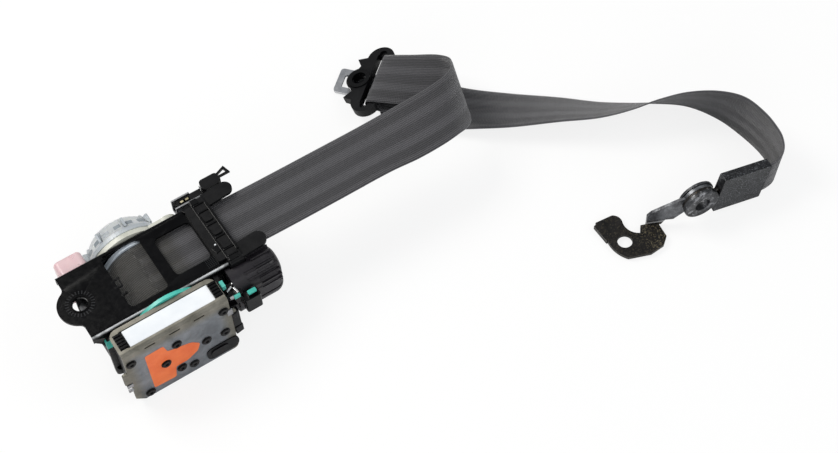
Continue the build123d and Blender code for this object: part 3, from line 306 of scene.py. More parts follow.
# Zinc plate: mottled grey, darker on bars that stay out of the light, paler on the bracket
zinc = zinc_cover("zinc_cover_sheet")
zinc_dark = sheet_metal("zinc_sheet_dark", "45464a", "6a6b6c", 0.32, 0.5)
bracket_zinc = sheet_metal("bracket_zinc", "77787b", "a2a3a6", 0.32, 0.5)
# Bare steel: bright and streaked on turned pieces, even on the tongue
bright_steel = sheet_metal("bright_steel", "b9babd", "d8d8da", 0.2, 0.34, stretch=(1, 8, 1))
tongue_steel = sheet_metal("tongue_steel", "b4b6ba", "cfd0d3", 0.24, 0.36)
# Cast spool: pale, grainy and hardly metallic
spool_cast = sheet_metal("spool_casting", "b4bfca", "d6dee6", 0.4, 0.55, grain=0.0006, metallic=0.15)
# Blued spring strip, tinned contacts and blackened rivets
spring_blue = sheet_metal("spring_strip", "3c4658", "5a6274", 0.25, 0.4)
brass = sheet_metal("tinned_terminal", "b9ad86", "d8cfae", 0.25, 0.4)
rivet_black = ecoat("rivet_black", "121213", "232324", 0.25, 0.4)


def clouded(name, colour, second, through=0.35):
    """Translucent moulded plastic, clouded and slightly uneven."""
    material, tree, shader = new_material(name)
    drift = ramp(tree, noise(tree, 0.016, 4), 0.3, 0.7)
    tree.links.new(mix_colour(tree, drift, srgb(colour), srgb(second)), shader.inputs["Base Color"])
    tree.links.new(ramp(tree, noise(tree, 0.006, 4), 0.3, 0.7, 0.24, 0.4), shader.inputs["Roughness"])
    shader.inputs["Transmission Weight"].default_value = through
    shader.inputs["Subsurface Weight"].default_value = 0.15
    shader.inputs["Subsurface Radius"].default_value = (0.004, 0.004, 0.005)
    bump(tree, shader, noise(tree, 0.0015, 2), 0.00003)
    return material


# Natural and pink nylon, both milky with a soft gloss
clouded_white = clouded("clouded_white", "c9ced2", "e4e7e8")
clouded_pink = clouded("clouded_pink", "e8c2c7", "f4dadd", 0.25)


def weathered(name, dark, light, speck_code, speck_share, scuff_share, low=0.26, high=0.5):
    """Black coated steel with gritty specks and rubbed silver scuffs. Shares are noise thresholds."""
    material, tree, shader = new_material(name)
    base = mix_colour(tree, ramp(tree, noise(tree, 0.01, 4), 0.35, 0.65), srgb(dark), srgb(light))
    speck = ramp(tree, noise(tree, 0.0011, 4, 0.7), speck_share, speck_share + 0.06)
    base = mix_colour(tree, speck, base, srgb(speck_code))
    scuff = ramp(tree, noise(tree, 0.005, 8, 0.7), scuff_share, scuff_share + 0.08, 0.0, 0.7)
    base = mix_colour(tree, scuff, base, srgb("a3a4a8"))
    tree.links.new(base, shader.inputs["Base Color"])
    shader.inputs["Metallic"].default_value = 0.55
    tree.links.new(ramp(tree, noise(tree, 0.003, 5), 0.3, 0.7, low, high), shader.inputs["Roughness"])
    bump(tree, shader, noise(tree, 0.0008, 4, 0.7), 0.00012)
    return material


def bracket_look(name, foot_top):
    """Anchor bracket: brown flecked black foot, an arm that is grey above it, and a painted highlight along
    the bend between them.
    """
    material, tree, shader = new_material(name)
    x, y, z = object_axes(tree)
    foot = mix_colour(tree, ramp(tree, noise(tree, 0.01, 4), 0.35, 0.65), srgb("0e0d0d"), srgb("231f1c"))
    gold = ramp(tree, noise(tree, 0.0013, 4, 0.7), 0.53, 0.66, 0.0, 0.85)
    near_bend = ramp(tree, x, 0.398, 0.412, 0.25, 1.0)
    foot = mix_colour(tree, calc(tree, "MULTIPLY", gold, near_bend), foot, srgb("8f8468"))
    arm = mix_colour(tree, ramp(tree, noise(tree, 0.008, 5), 0.35, 0.65), srgb("3c3d41"), srgb("7a7c80"))
    dark_fleck = ramp(tree, noise(tree, 0.0011, 4, 0.7), 0.58, 0.66, 0.0, 0.7)
    arm = mix_colour(tree, dark_fleck, arm, srgb("17171a"))
    base = mix_colour(tree, ramp(tree, z, foot_top - 0.0002, foot_top + 0.005), foot, arm)
    # Painted highlight: a pale line just above the foot, along the bend
    from_bend = calc(tree, "ABSOLUTE", calc(tree, "SUBTRACT", z, foot_top + 0.0022))
    glint = ramp(tree, from_bend, 0.0004, 0.0012, 0.8, 0.0)
    base = mix_colour(tree, glint, base, srgb("d4d5d8"))
    tree.links.new(base, shader.inputs["Base Color"])
    shader.inputs["Metallic"].default_value = 0.5
    tree.links.new(ramp(tree, noise(tree, 0.003, 5), 0.3, 0.7, 0.24, 0.44), shader.inputs["Roughness"])
    bump(tree, shader, noise(tree, 0.0008, 4, 0.7), 0.0001)
    return material


# Anchor end: flecked bracket, worn eyelet, sleeve with pale dots, and a dark weathered end plate
bracket_coat = bracket_look("anchor_bracket_flecked", -0.0655)
eyelet_coat = weathered("eyelet_worn", "1d1e20", "4a4b4e", "0c0c0d", 0.60, 0.54)
sleeve_coat = weathered("sleeve_dotted", "1c1d1f", "303134", "707276", 0.56, 0.72, 0.3, 0.45)
anchor_coat = weathered("anchor_weathered", "161515", "2b2826", "6b5a40", 0.60, 0.62)


looks = {
    "retractor_frame": frame_coat, "tie_bar_rear": zinc_dark, "tie_bar_front": zinc_dark,
    "spool": spool_cast, "torsion_bar": bright_steel, "locking_pawl": bright_steel, "pawl_pin": bright_steel,
    "spring_base_plate": cream_plastic, "spring_case": clouded_white, "spring_arbor": black_plastic,
    "mainspring": spring_blue, "sensor_cap": clouded_pink, "sensor_cup": black_plastic,
    "inertia_ball": bright_steel, "sensor_lever": cream_plastic, "sensor_lever_pin": bright_steel,
    "bearing_plate": teal_disc("bearing_plate_teal", SPOOL_X, SPOOL_Z, TEAL_REACH),
    "gearbox_housing": black_plastic, "drive_pinion": bright_steel,
    "drive_piston": bright_steel, "gas_generator": bright_steel, "gearbox_cover": zinc,
    "cover_rivets": rivet_black, "igniter_plug": black_glossy, "igniter_latch": teal_plastic,
    "ribbed_cover": plum_plastic, "webbing_guide": black_plastic, "socket_bracket": bracket_zinc,
    "sensor_socket": black_plastic, "socket_terminals": brass, "harness_clip": black_plastic,
    "pillar_loop_cover": black_plastic, "pillar_loop_core": zinc_dark, "pillar_loop_bush": black_glossy,
    "tongue_plate": tongue_steel, "tongue_grip": black_plastic, "end_plate": anchor_coat,
    "swivel_eyelet": eyelet_coat, "anchor_sleeve": sleeve_coat, "anchor_bracket": bracket_coat,
}
for name, material in looks.items():
    node = nodes[name]
    if not node.material_slots:
        node.data.materials.append(material)
    for slot in node.material_slots:
        slot.material = material


# Belt

def mesh_piece(name, vertices, faces, material, smooth=True):
    """Object at the origin from plain lists of vertices in metres and faces."""
    mesh = bpy.data.meshes.new(name)
    mesh.from_pydata(vertices, [], faces)
    mesh.validate()
    for polygon in mesh.polygons:
        polygon.use_smooth = smooth
    piece = bpy.data.objects.new(name, mesh)
    bpy.context.collection.objects.link(piece)
    piece.data.materials.append(material)
    return piece


# The same edge pairs as the part's source. Most were worked out by a measuring script from
# points picked on the photo, not chosen by hand.
belt_edges = [
    ((54, 25, -4.6), (54, -25, -4.6)),
    ((80, 25, -4.6), (80, -25, -4.6)),
    ((105, 25, -4.6), (105, -25, -4.6)),
    ((124, 24.6, -4.6), (124, -25.4, -4.6)),
    ((165, 23.8, -4.6), (165, -26.2, -4.6)),
    ((210, 23.4, -4.6), (210, -26.6, -4.6)),
    ((255.7, 23, -4.4), (254.3, -27, -4.4)),
    ((287.7, 20.9, -0.2), (279.9, -28.1, -5.8)),
    ((318.1, 21.5, 0.4), (305.3, -26.1, -8.4)),
    ((334.2, 24.5, -1.2), (320.2, -22, -12.8)),
    ((345.9, 30.8, -6.2), (333.3, -14.9, -21.8)),
    ((355.7, 42.2, -15), (344.1, -3, -33)),
    ((360.2, 54.5, -24.6), (348.2, 9, -41.4)),
    ((357.8, 69.2, -35), (341, 23.2, -45)),
    ((344.2, 85.2, -42.6), (322.8, 40.3, -47.4)),
    ((330.5, 99.5, -48), (292.1, 67.5, -48)),
    ((328.2, 102.2, -49.5), (289.8, 70.2, -49.5)),
    ((327.3, 103.3, -53), (288.9, 71.3, -53)),
    ((328.2, 102.2, -56.5), (289.8, 70.2, -56.5)),
    ((330.5, 99.5, -58), (292.1, 67.5, -58)),
    ((340.8, 88.3, -60.6), (302.4, 56.3, -60.6)),
    ((344.6, 84.4, -61.7), (306.2, 52.4, -61.7)),
    ((349.1, 79.7, -68), (312.1, 46.1, -68)),
    ((351.7, 76.7, -68.9), (315.5, 42.3, -68.4)),
    ((365.5, 56.4, -69.2), (329, 22.4, -66.8)),
    ((376.3, 44.1, -69.3), (344.7, 6.9, -58.8)),
    ((402.4, 20.4, -69.3), (373.3, -16.3, -51.8)),
    ((431.8, -4.3, -69.3), (406.1, -38.9, -44.1)),
    ((456.6, -27.1, -69.3), (432.5, -57.6, -37.9)),
    ((477.3, -42.5, -69.3), (454.9, -68.3, -32.8)),
    ((495.9, -55.7, -69.3), (477.6, -75.8, -27.3)),
    ((514, -72, -69.3), (498.3, -84.8, -23.6)),
    ((526.4, -95.8, -69.3), (518.3, -100.2, -20.2)),
    ((531.6, -119.6, -69.3), (530.6, -116.5, -19.4)),
    ((533.3, -139.5, -69.3), (534.2, -137, -19.4)),
    ((532.2, -151.4, -69.3), (533.3, -151.4, -19.3)),
    ((529.1, -160.9, -69.3), (530.3, -163.8, -19.4)),
    ((524.6, -169, -69.3), (526.9, -170.8, -25.4)),
    ((513.6, -170.9, -69.3), (519.6, -171.7, -34.9)),
    ((505.8, -169.8, -67.9), (511.8, -170.7, -33.5)),
    ((477.7, -166.1, -63), (483.8, -166.9, -28.5)),
]


def smooth_line(points, steps):
    """Points of a curve through the given ones, with centripetal spacing."""
    points = [Vector(p) for p in points]
    line = []
    count = len(points)
    for i in range(count - 1):
        p1, p2 = points[i], points[i + 1]
        p0 = points[i - 1] if i else p1 * 2 - p2
        p3 = points[i + 2] if i + 2 < count else p2 * 2 - p1
        t0 = 0.0
        t1 = t0 + max((p1 - p0).length, 1e-6) ** 0.5
        t2 = t1 + max((p2 - p1).length, 1e-6) ** 0.5
        t3 = t2 + max((p3 - p2).length, 1e-6) ** 0.5
        for k in range(steps):
            t = t1 + (t2 - t1) * k / steps
            a1 = p0 * ((t1 - t) / (t1 - t0)) + p1 * ((t - t0) / (t1 - t0))
            a2 = p1 * ((t2 - t) / (t2 - t1)) + p2 * ((t - t1) / (t2 - t1))
            a3 = p2 * ((t3 - t) / (t3 - t2)) + p3 * ((t - t2) / (t3 - t2))
            b1 = a1 * ((t2 - t) / (t2 - t0)) + a2 * ((t - t0) / (t2 - t0))
            b2 = a2 * ((t3 - t) / (t3 - t1)) + a3 * ((t - t1) / (t3 - t1))
            line.append(b1 * ((t2 - t) / (t2 - t1)) + b2 * ((t - t1) / (t2 - t1)))
    line.append(points[-1])
    return line


def ribbon(name, far_line, near_line, thickness, columns, material):
    """Belt of this thickness between two edge lines, with UV in metres and rounded selvedges."""
    middles = [(a + b) / 2 for a, b in zip(far_line, near_line)]
    profile = []
    for i in range(columns + 1):
        edge = min(i, columns - i)
        profile.append((i / columns, EDGE_LIFTS[min(edge, 2)]))
    loop = profile + [(across, -lift) for across, lift in reversed(profile)]
    vertices, faces, uvs = [], [], []
    length = 0.0
    for row, (far, near) in enumerate(zip(far_line, near_line)):
        ahead = middles[min(row + 1, len(middles) - 1)]
        behind = middles[max(row - 1, 0)]
        if row:
            length += (middles[row] - middles[row - 1]).length
        face = (near - far).cross(ahead - behind).normalized()
        for across, lift in loop:
            vertices.append((far.lerp(near, across) - face * (lift * thickness)) * MM)
            uvs.append((across * BELT_WIDTH, length * MM))
    ring = len(loop)
    rows = len(far_line)
    for row in range(rows - 1):
        for i in range(ring):
            j = (i + 1) % ring
            faces.append((row * ring + i, row * ring + j, (row + 1) * ring + j, (row + 1) * ring + i))
    for start in (0, (rows - 1) * ring):
        for i in range(columns):
            quad = (start + i, start + i + 1, start + ring - 2 - i, start + ring - 1 - i)
            faces.append(quad if start else quad[::-1])
    piece = mesh_piece(name, vertices, faces, material)
    layer = piece.data.uv_layers.new(name="belt")
    for loop_item in piece.data.loops:
        layer.data[loop_item.index].uv = uvs[loop_item.vertex_index]
    return piece, length * MM


# Free belt: grey weave with darker stripes, one ribbon over the three solids, in mm
belt_thickness = 1.1
curve_steps, belt_columns = 8, 20
belt_dark = webbing_material("webbing_weave", "09090a", "626165",
                             [(0.0085, 0.0030, 0.45, "1c1c1e"), (0.0160, 0.0018, 0.18, "58585c"),
                              (0.0250, 0.0040, 0.40, "1f1f22"), (0.0340, 0.0018, 0.18, "58585c"),
                              (0.0415, 0.0030, 0.45, "1c1c1e")], from_roll=True)
far_edge = smooth_line([far for far, near in belt_edges], curve_steps)
near_edge = smooth_line([near for far, near in belt_edges], curve_steps)
belt, belt_length = ribbon("belt_webbing", far_edge, near_edge, belt_thickness, belt_columns, belt_dark)
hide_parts("webbing_shoulder_run", "webbing_fold", "webbing_lap_run")
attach(belt, "retractor_body")


# Wound belt: a spiral on the spool, in mm, that ends at the top, where the free belt starts
spool_middle = Vector((54, 0, -30))
roll_inner, roll_outer, roll_turns, roll_steps = 15.0, 25.4, 8, 56
roll_half_width, roll_wander, wander_turns, roll_columns = 24.6, 0.35, 5.1, 12
far_edge, near_edge = [], []
for step in range(roll_turns * roll_steps + 1):
    part = step / (roll_turns * roll_steps)
    angle = math.pi / 2 + 2 * math.pi * roll_turns * (1 - part)
    radius = roll_inner + (roll_outer - roll_inner) * part
    spot = spool_middle + Vector((radius * math.cos(angle), 0, radius * math.sin(angle)))
    wander = roll_wander * math.sin(step / roll_steps * wander_turns)
    far_edge.append(spot + Vector((0, roll_half_width + wander, 0)))
    near_edge.append(spot + Vector((0, -roll_half_width + wander, 0)))
roll_dark = webbing_material("webbing_roll_weave", ROLL_DARK, ROLL_LIGHT, [(0.0250, 0.0040, 0.25, "1b1b1a")])
wound, wound_length = ribbon("wound_belt", far_edge, near_edge, belt_thickness, roll_columns, roll_dark)
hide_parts("webbing_roll")
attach(wound, "spool_body")


# What repeats: trees of Geometry Nodes, each made into one plain mesh

def new_tree(name, inputs):
    """Empty geometry tree with these named inputs. Gives the tree, its input node and a maker of nodes."""
    tree = bpy.data.node_groups.new(name, "GeometryNodeTree")
    for label, kind, value in inputs:
        socket = tree.interface.new_socket(label, in_out="INPUT", socket_type=kind)
        socket.default_value = value
    tree.interface.new_socket("Geometry", in_out="OUTPUT", socket_type="NodeSocketGeometry")
    start = tree.nodes.new("NodeGroupInput")

    def make(kind, links):
        node = tree.nodes.new(kind)
        for label, source in links.items():
            if isinstance(source, bpy.types.NodeSocket):
                tree.links.new(source, node.inputs[label])
            else:
                node.inputs[label].default_value = source
        return node

    return tree, start.outputs, make


def plain_mesh(name, tree, last, make, material):
    """Close the tree with Realize Instances and Set Material, and turn its result into a plain mesh."""
    real = make("GeometryNodeRealizeInstances", {"Geometry": last})
    painted = make("GeometryNodeSetMaterial", {"Geometry": real.outputs[0], "Material": material})
    end = tree.nodes.new("NodeGroupOutput")
    tree.links.new(painted.outputs[0], end.inputs[0])
    piece = bpy.data.objects.new(name, bpy.data.meshes.new(name + "_seed"))
    bpy.context.collection.objects.link(piece)
    modifier = piece.modifiers.new("repeat", "NODES")
    modifier.node_group = tree
    graph = bpy.context.evaluated_depsgraph_get()
    mesh = bpy.data.meshes.new_from_object(piece.evaluated_get(graph), depsgraph=graph)
    piece.modifiers.clear()
    piece.data = mesh
    return piece


def ring_of_blocks(name, place, turn, radius, count, size, material):
    """Equal blocks set round a circle, each turned to face outwards. Lengths in metres."""
    tree, given, make = new_tree(name, [
        ("Radius", "NodeSocketFloat", radius), ("Count", "NodeSocketInt", count),
        ("Block", "NodeSocketVector", size), ("Place", "NodeSocketVector", place),
        ("Turn", "NodeSocketRotation", turn)])
    circle = make("GeometryNodeMeshCircle", {"Vertices": given["Count"], "Radius": given["Radius"]})
    block = make("GeometryNodeMeshCube", {"Size": given["Block"]})
    where = make("GeometryNodeInputPosition", {})
    facing = make("FunctionNodeAlignRotationToVector", {"Vector": where.outputs[0]})
    facing.axis = "X"
    facing.pivot_axis = "Z"
    spread = make("GeometryNodeInstanceOnPoints", {"Points": circle.outputs[0], "Instance": block.outputs[0],
                                                   "Rotation": facing.outputs[0]})
    moved = make("GeometryNodeTransform", {"Geometry": spread.outputs[0], "Translation": given["Place"],
                                           "Rotation": given["Turn"]})
    return plain_mesh(name, tree, moved.outputs[0], make, material)


def grid_of_studs(name, place, turn, spread_size, counts, size, material):
    """Equal small blocks in rows and columns, each turned by an eighth, as knurling. Lengths in metres."""
    tree, given, make = new_tree(name, [
        ("Length", "NodeSocketFloat", spread_size[0]), ("Width", "NodeSocketFloat", spread_size[1]),
        ("Columns", "NodeSocketInt", counts[0]), ("Rows", "NodeSocketInt", counts[1]),
        ("Stud", "NodeSocketVector", size), ("Place", "NodeSocketVector", place),
        ("Turn", "NodeSocketRotation", turn)])
    grid = make("GeometryNodeMeshGrid", {"Size X": given["Length"], "Size Y": given["Width"],
                                         "Vertices X": given["Columns"], "Vertices Y": given["Rows"]})
    block = make("GeometryNodeMeshCube", {"Size": given["Stud"]})
    spread = make("GeometryNodeInstanceOnPoints", {"Points": grid.outputs[0], "Instance": block.outputs[0],
                                                   "Rotation": (0.0, 0.0, math.pi / 4)})
    moved = make("GeometryNodeTransform", {"Geometry": spread.outputs[0], "Translation": given["Place"],
                                           "Rotation": given["Turn"]})
    return plain_mesh(name, tree, moved.outputs[0], make, material)


def fix_to(piece, body):
    """Ride on a body."""
    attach(piece, body)


relief = ecoat("frame_relief", "1d1e20", "2b2c2e", 0.2, 0.3)
flat = (0, 0, 0)
relief_lift = 0.0001
boss_ridges = ring_of_blocks("boss_ridges", (0, 0, relief_lift), flat, radius=0.0098, count=26,
                             size=(0.0028, 0.0008, 0.0006), material=relief)
boss_ring = ring_of_blocks("boss_ring", (0, 0, relief_lift), flat, radius=0.0068, count=48,
                           size=(0.0011, 0.0011, 0.0008), material=frame_coat)
knurl = grid_of_studs("frame_knurl", (0.0995, -0.0232, relief_lift), flat, spread_size=(0.0105, 0.0072),
                      counts=(8, 6), size=(0.0008, 0.0008, 0.0006), material=relief)
for piece in (boss_ridges, boss_ring, knurl):
    fix_to(piece, "retractor_body")


# Frame pressing: the solid's mesh, with both side plates cut back at the bolt end

def prism(name, outline, y_low, y_high):
    """Closed block from an outline in X and Z, in mm."""
    count = len(outline)
    vertices = [(x * MM, y * MM, z * MM) for y in (y_low, y_high) for x, z in outline]
    faces = [tuple(range(count)), tuple(reversed(range(count, 2 * count)))]
    faces += [(i, count + i, count + (i + 1) % count, (i + 1) % count) for i in range(count)]
    return mesh_piece(name, vertices, faces, frame_coat, smooth=False)


def tidy_mesh(mesh, merge=0.0, sharp_angle=None):
    """Weld near vertices, turn faces outwards and shade smooth up to an angle."""
    work = bmesh.new()
    work.from_mesh(mesh)
    if merge:
        bmesh.ops.remove_doubles(work, verts=work.verts, dist=merge)
    bmesh.ops.recalc_face_normals(work, faces=work.faces)
    work.to_mesh(mesh)
    work.free()
    if sharp_angle:
        for polygon in mesh.polygons:
            polygon.use_smooth = True
        mesh.set_sharp_from_angle(angle=math.radians(sharp_angle))


cut_outline = [(-12, -8), (-5, -8), (-1, -13), (2.2, -22), (2.2, -66), (-12, -66)]
cut_half_width = 40
weld_distance = 0.000002
smooth_up_to = 35
cut_back = prism("cut_back", cut_outline, -cut_half_width, cut_half_width)
tidy_mesh(cut_back.data)
frame_mesh = nodes["retractor_frame"].data.copy()
frame_mesh.transform(nodes["retractor_frame"].matrix_world)
tidy_mesh(frame_mesh, merge=weld_distance)
frame_shell = bpy.data.objects.new("frame_pressing", frame_mesh)
bpy.context.collection.objects.link(frame_shell)
cutter = frame_shell.modifiers.new("cut", "BOOLEAN")
cutter.operation = "DIFFERENCE"
cutter.solver = "EXACT"
cutter.object = cut_back
graph = bpy.context.evaluated_depsgraph_get()
cut_mesh = bpy.data.meshes.new_from_object(frame_shell.evaluated_get(graph), depsgraph=graph)
frame_shell.modifiers.clear()
frame_shell.data = cut_mesh
tidy_mesh(cut_mesh, sharp_angle=smooth_up_to)
bpy.data.objects.remove(cut_back)
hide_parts("retractor_frame")
fix_to(frame_shell, "retractor_body")


# Labels, bare

cover_front = min(v.co.y for v in nodes["gearbox_cover"].data.vertices) / MM
cover_face = ((0, cover_front, 0), (1, 0, 0), (0, 0, 1))
top_face = ((0, 0, 0), (1, 0, 0), (0, 1, 0))


def plate(name, outline, lift, thickness, place, u_axis, v_axis, material):
    """Thin flat plate from a 2-D outline in mm, laid on a face given by two axes."""
    u, v = Vector(u_axis), Vector(v_axis)
    normal = u.cross(v)
    base = Vector(place)
    vertices = []
    for level in (lift, lift + thickness):
        for x, y in outline:
            vertices.append((base + u * x + v * y + normal * level) * MM)
    count = len(outline)
    faces = [tuple(range(count, 2 * count)), tuple(range(count - 1, -1, -1))]
    for i in range(count):
        j = (i + 1) % count
        faces.append((i, j, count + j, count + i))
    return mesh_piece(name, vertices, faces, material, smooth=False)


def rounded(points, radius, steps=4):
    """Outline with each corner rounded."""
    out = []
    count = len(points)
    for i, point in enumerate(points):
        p = Vector(point)
        a = (Vector(points[i - 1]) - p)
        b = (Vector(points[(i + 1) % count]) - p)
        r = min(radius, a.length / 2.1, b.length / 2.1)
        start, end = p + a.normalized() * r, p + b.normalized() * r
        for k in range(steps + 1):
            t = k / steps
            out.append(tuple(start.lerp(p, t).lerp(p.lerp(end, t), t)))
    return out


white_label_look = plastic("label_white", "dfe4ea", "eef1f4", low=0.4, high=0.5, depth=0.00001, patch=0.03)
orange_label_look = plastic("label_orange", "e0642a", "ee7a3c", low=0.42, high=0.52, depth=0.00002,
                            patch=0.02)
label_left, label_right, label_front, label_back = 14.0, 85.0, -53.6, -38.8
white_outline = rounded([(label_left, label_front), (label_right, label_front),
                         (label_right, label_back), (label_left, label_back)], 0.8)
white_label = plate("white_label", white_outline, -0.4, 1.9, *top_face, white_label_look)
orange_outline = rounded([(20, -13), (35.5, -12.5), (37.5, -22), (57, -28), (63, -35), (60, -43),
                          (50.5, -48.5), (40.4, -48.5), (38.5, -62), (20, -61)], 2.0)
orange_label = plate("orange_label", orange_outline, 0.02, 0.12, *cover_face, orange_label_look)
for piece in (white_label, orange_label):
    fix_to(piece, "retractor_body")


# Relief and fittings that the solids leave out

def relief_boxes(name, boxes, material, bevel=0.3):
    """One mesh of small bevelled blocks, each given by its middle, its size in mm and its turn about Z."""
    mesh = bmesh.new()
    for place, size, turn in boxes:
        made = bmesh.ops.create_cube(mesh, size=1.0)["verts"]
        bmesh.ops.scale(mesh, vec=Vector(size) * MM, verts=made)
        bmesh.ops.rotate(mesh, cent=(0, 0, 0), matrix=Matrix.Rotation(math.radians(turn), 3, "Z"), verts=made)
        bmesh.ops.translate(mesh, vec=Vector(place) * MM, verts=made)
    bmesh.ops.bevel(mesh, geom=list(mesh.edges), offset=bevel * MM, segments=2, affect="EDGES", profile=0.5,
                    clamp_overlap=True)
    data = bpy.data.meshes.new(name)
    mesh.to_mesh(data)
    mesh.free()
    piece = bpy.data.objects.new(name, data)
    bpy.context.collection.objects.link(piece)
    data.materials.append(material)
    return piece


def discs(name, places, radius, lift, thickness, plane_y, material, corners=24):
    """Round plates on an upright face, one mesh."""
    vertices, faces = [], []
    for x, z in places:
        first = len(vertices)
        for level in (lift, lift + thickness):
            for k in range(corners):
                angle = 2 * math.pi * k / corners
                vertices.append(((x + radius * math.cos(angle)) * MM, (plane_y - level) * MM,
                                 (z + radius * math.sin(angle)) * MM))
        front = [first + corners + k for k in range(corners)]
        faces.append(tuple(front))
        faces.append(tuple(first + k for k in reversed(range(corners))))
        for k in range(corners):
            n = (k + 1) % corners
            faces.append((first + k, first + n, first + corners + n, first + corners + k))
    return mesh_piece(name, vertices, faces, material, smooth=False)


label_middle = (label_front + label_back) / 2
end_ribs = [((x, label_middle + 2.8 * k, 2.55), (6.6, 1.7, 1.1), 0)
            for x in (label_left - 4.4, label_right + 3.2) for k in (-2, -1, 0, 1, 2)]
end_blocks = [((x, label_middle, 1.9), (7.2, 14.6, 0.6), 0) for x in (label_left - 4.2, label_right + 3.2)]
label_ends = relief_boxes("label_end_ribs", end_ribs + end_blocks, black_glossy)

# The places of the source's rivets
rivet_spots = [(86.5, -11.0), (45.7, -19.5), (68.4, -36.5), (84.0, -39.0), (33.9, -37.0), (44.5, -54.0),
               (54.5, -58.0), (9.0, -12.5), (16.0, -63.5)]
rivet_rims = discs("rivet_rims", rivet_spots, radius=4.1, lift=0.15, thickness=0.5, plane_y=cover_front,
                   material=rivet_black)
port_shape = rounded([(65.5, -51), (93, -51), (93, -65.5), (65.5, -65.5)], 6.5, 8)
port_lid = plate("port_lid", port_shape, 0.03, 0.9, *cover_face, black_plastic)
inner_shape = rounded([(69, -54), (84, -54), (84, -62.5), (69, -62.5)], 4, 6)
port_inner = plate("port_inner", inner_shape, 0.95, 0.8, *cover_face, black_glossy)
side_blocks = relief_boxes("gearbox_side_blocks", [
    ((95.2, -55, -30), (6.4, 8, 20), 0), ((95.6, -56, -46), (6.8, 6, 9), 8), ((96, -50, -20), (8, 12, 7), 0),
    ((94.6, -58, -24), (4, 3, 6), 0), ((99.5, -46, -17), (15, 13, 12), 0)], black_glossy, 0.6)
grey_tab = relief_boxes("cover_edge_tabs", [
    ((91.2, -59.0, -16), (4.5, 1.2, 7), 0), ((3.0, -58.6, -40), (5, 1.6, 4), 0),
    ((2.6, -58.6, -46.5), (4, 1.6, 3), 0)], bracket_zinc)
lead_clips = relief_boxes("igniter_clips", [
    ((99, -46, -9.5), (5.5, 1.6, 3), 25), ((103, -49, -9.5), (1.6, 6, 3), 10),
    ((104.5, -43, -9.8), (4, 1.5, 2.5), -20), ((97.5, -52.5, -10.5), (3.5, 1.4, 3), 0)], bright_steel)
lead_ring = relief_boxes("igniter_teal_bits", [
    ((95.8, -42.5, -4.5), (3, 6, 5), 0), ((101.5, -53.5, -10), (5, 2, 3.5), 0)], teal_plastic)
guide_relief = relief_boxes("guide_relief", [
    ((119.8, 0, 3.0), (2.2, 50, 1.8), 0), ((109.6, 0, 2.9), (1.8, 58, 1.2), 0),
    *[((114.6, y, 2.9), (8.5, 1.3, 1.2), 0) for y in (-27, -20.5, -8, 5, 18.5, 26)],
    ((106.5, -17, 1.9), (5.5, 6, 3.0), 12), ((105.8, 25.5, 1.4), (7, 9, 2.2), 24),
    ((112.3, 29, 3.2), (6, 5, 1.8), 0), ((113.5, -30, 3.1), (8, 3.5, 1.8), 0)], black_glossy)
guide_dot = relief_boxes("guide_dot", [((107.4, -13.0, 2.4), (1.5, 1.5, 1.6), 0)], white_label_look, 0.5)
window_clips = relief_boxes("window_clips", [
    ((31.2, 4, -0.4), (7, 1.5, 1.2), 8), ((30.5, -3, -0.4), (6, 1.5, 1.2), -12),
    ((33.2, 0.5, -0.2), (1.5, 8, 1.4), 0), ((31.5, -10.5, -0.4), (5, 2.0, 1.2), 10)], black_glossy)
for piece in (rivet_rims, side_blocks, window_clips):
    fix_to(piece, "retractor_body")
for piece in (label_ends, port_lid, port_inner, guide_relief, guide_dot):
    fix_to(piece, "retractor_body")
for piece in (grey_tab, lead_clips):
    fix_to(piece, "retractor_body")
fix_to(lead_ring, "retractor_body")

# Fins, windows and rim of the spring case, and fins of the ribbed cover. Turns are in radians
quarter = math.pi / 2
half_window_step = 0.1745
case_look = clouded("clouded_fins", "b4bbc1", "d2d8dc", 0.2)
case_shade = clouded("clouded_shade", "7f878e", "9aa2a8", 0.1)
case_fins = ring_of_blocks("spring_case_fins", (SPOOL_X, 0.0445, SPOOL_Z), (quarter, 0, 0),
                           radius=0.0308, count=9, size=(0.0050, 0.0018, 0.0085), material=case_look)
case_windows = ring_of_blocks("spring_case_windows", (SPOOL_X, 0.0440, SPOOL_Z),
                              (quarter, half_window_step, 0), radius=0.0290, count=18,
                              size=(0.0012, 0.0052, 0.0050), material=case_shade)
case_rim = ring_of_blocks("spring_case_rim", (SPOOL_X, 0.0372, SPOOL_Z), (quarter, 0, 0),
                          radius=0.0322, count=72, size=(0.0014, 0.0029, 0.0032), material=case_look)
for piece in (case_fins, case_windows, case_rim):
    fix_to(piece, "retractor_body")
cover_fins = ring_of_blocks("ribbed_cover_fins", (0.1325, -0.0355, -0.0195), (0, quarter, 0),
                            radius=0.0146, count=18, size=(0.0030, 0.0012, 0.0170), material=plum_plastic)
fix_to(cover_fins, "retractor_body")


# Stage

floor_gap = 0.0001
floor_size = 8
floor_middle = (0.25, -0.05)
floor_z = cad_low[2] - floor_gap


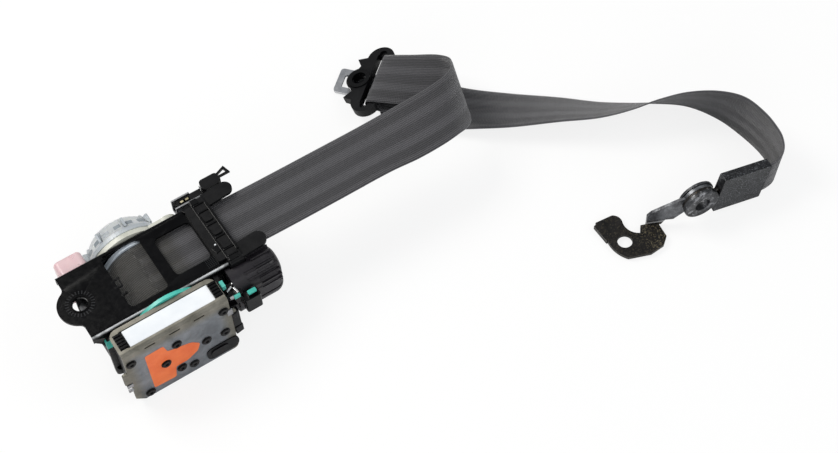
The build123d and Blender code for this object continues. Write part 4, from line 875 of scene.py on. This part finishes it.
def make_stage():
    """Pale floor that looks white to the camera and keeps the object's soft shadow."""
    bpy.ops.mesh.primitive_plane_add(size=floor_size, location=(*floor_middle, floor_z))
    floor = bpy.context.object
    floor.name = "floor"
    material, tree, shader = new_material("floor_white")
    shader.inputs["Base Color"].default_value = srgb("f6f6f6")
    shader.inputs["Roughness"].default_value = 0.9
    shader.inputs["Specular IOR Level"].default_value = 0.1
    glow = tree.nodes.new("ShaderNodeEmission")
    rays = tree.nodes.new("ShaderNodeLightPath")
    blend = tree.nodes.new("ShaderNodeMixShader")
    tree.links.new(calc(tree, "MULTIPLY", rays.outputs["Is Camera Ray"], 0.82), blend.inputs[0])
    tree.links.new(shader.outputs[0], blend.inputs[1])
    tree.links.new(glow.outputs[0], blend.inputs[2])
    tree.links.new(blend.outputs[0], tree.nodes["Material Output"].inputs["Surface"])
    floor.data.materials.append(material)
    world = bpy.data.worlds.new("studio")
    bpy.context.scene.world = world
    world.use_nodes = True
    world.node_tree.nodes["Background"].inputs[0].default_value = srgb("f2f5f8")
    world.node_tree.nodes["Background"].inputs[1].default_value = 0.42


def area_light(name, place, target, size, power, colour="ffffff"):
    """Soft area lamp aimed at a point."""
    data = bpy.data.lights.new(name, "AREA")
    data.shape = "RECTANGLE"
    data.size, data.size_y = size
    data.energy = power
    data.color = srgb(colour)[:3]
    lamp = bpy.data.objects.new(name, data)
    bpy.context.collection.objects.link(lamp)
    lamp.location = place
    lamp.rotation_euler = (Vector(target) - Vector(place)).to_track_quat("-Z", "Y").to_euler()


make_stage()
middle = (0.25, -0.03, -0.03)
area_light("key", (-0.5, 0.9, 1.5), middle, size=(0.9, 0.9), power=24, colour="fffdf8")
area_light("fill", (1.2, -0.9, 1.2), middle, size=(1.4, 1.0), power=9)
area_light("front", (-0.7, -1.3, 0.7), middle, size=(1.2, 0.6), power=7)

# Camera, fitted to the photograph: its angles in degrees, its target and its distance from it
view_angles = (-30.023, 57.417, -3.561)
view_target = (0.252735, -0.067023, -0.03)
view_distance = 1.34642
camera_data = bpy.data.cameras.new("camera")
camera = bpy.data.objects.new("camera", camera_data)
bpy.context.collection.objects.link(camera)
bpy.context.scene.camera = camera
azimuth, elevation, roll = (math.radians(v) for v in view_angles)
back = Vector((math.sin(azimuth) * math.cos(elevation), -math.cos(azimuth) * math.cos(elevation),
               math.sin(elevation)))
side = (-back).cross(Vector((0, 0, 1))).normalized()
up = side.cross(-back)
right = side * math.cos(roll) + up * math.sin(roll)
above = up * math.cos(roll) - side * math.sin(roll)
camera.location = Vector(view_target) + back * view_distance
camera.rotation_euler = Matrix((right, above, back)).transposed().to_euler()
camera_data.lens = 75
camera_data.clip_end = 20

bpy.context.scene.view_settings.view_transform = "Standard"
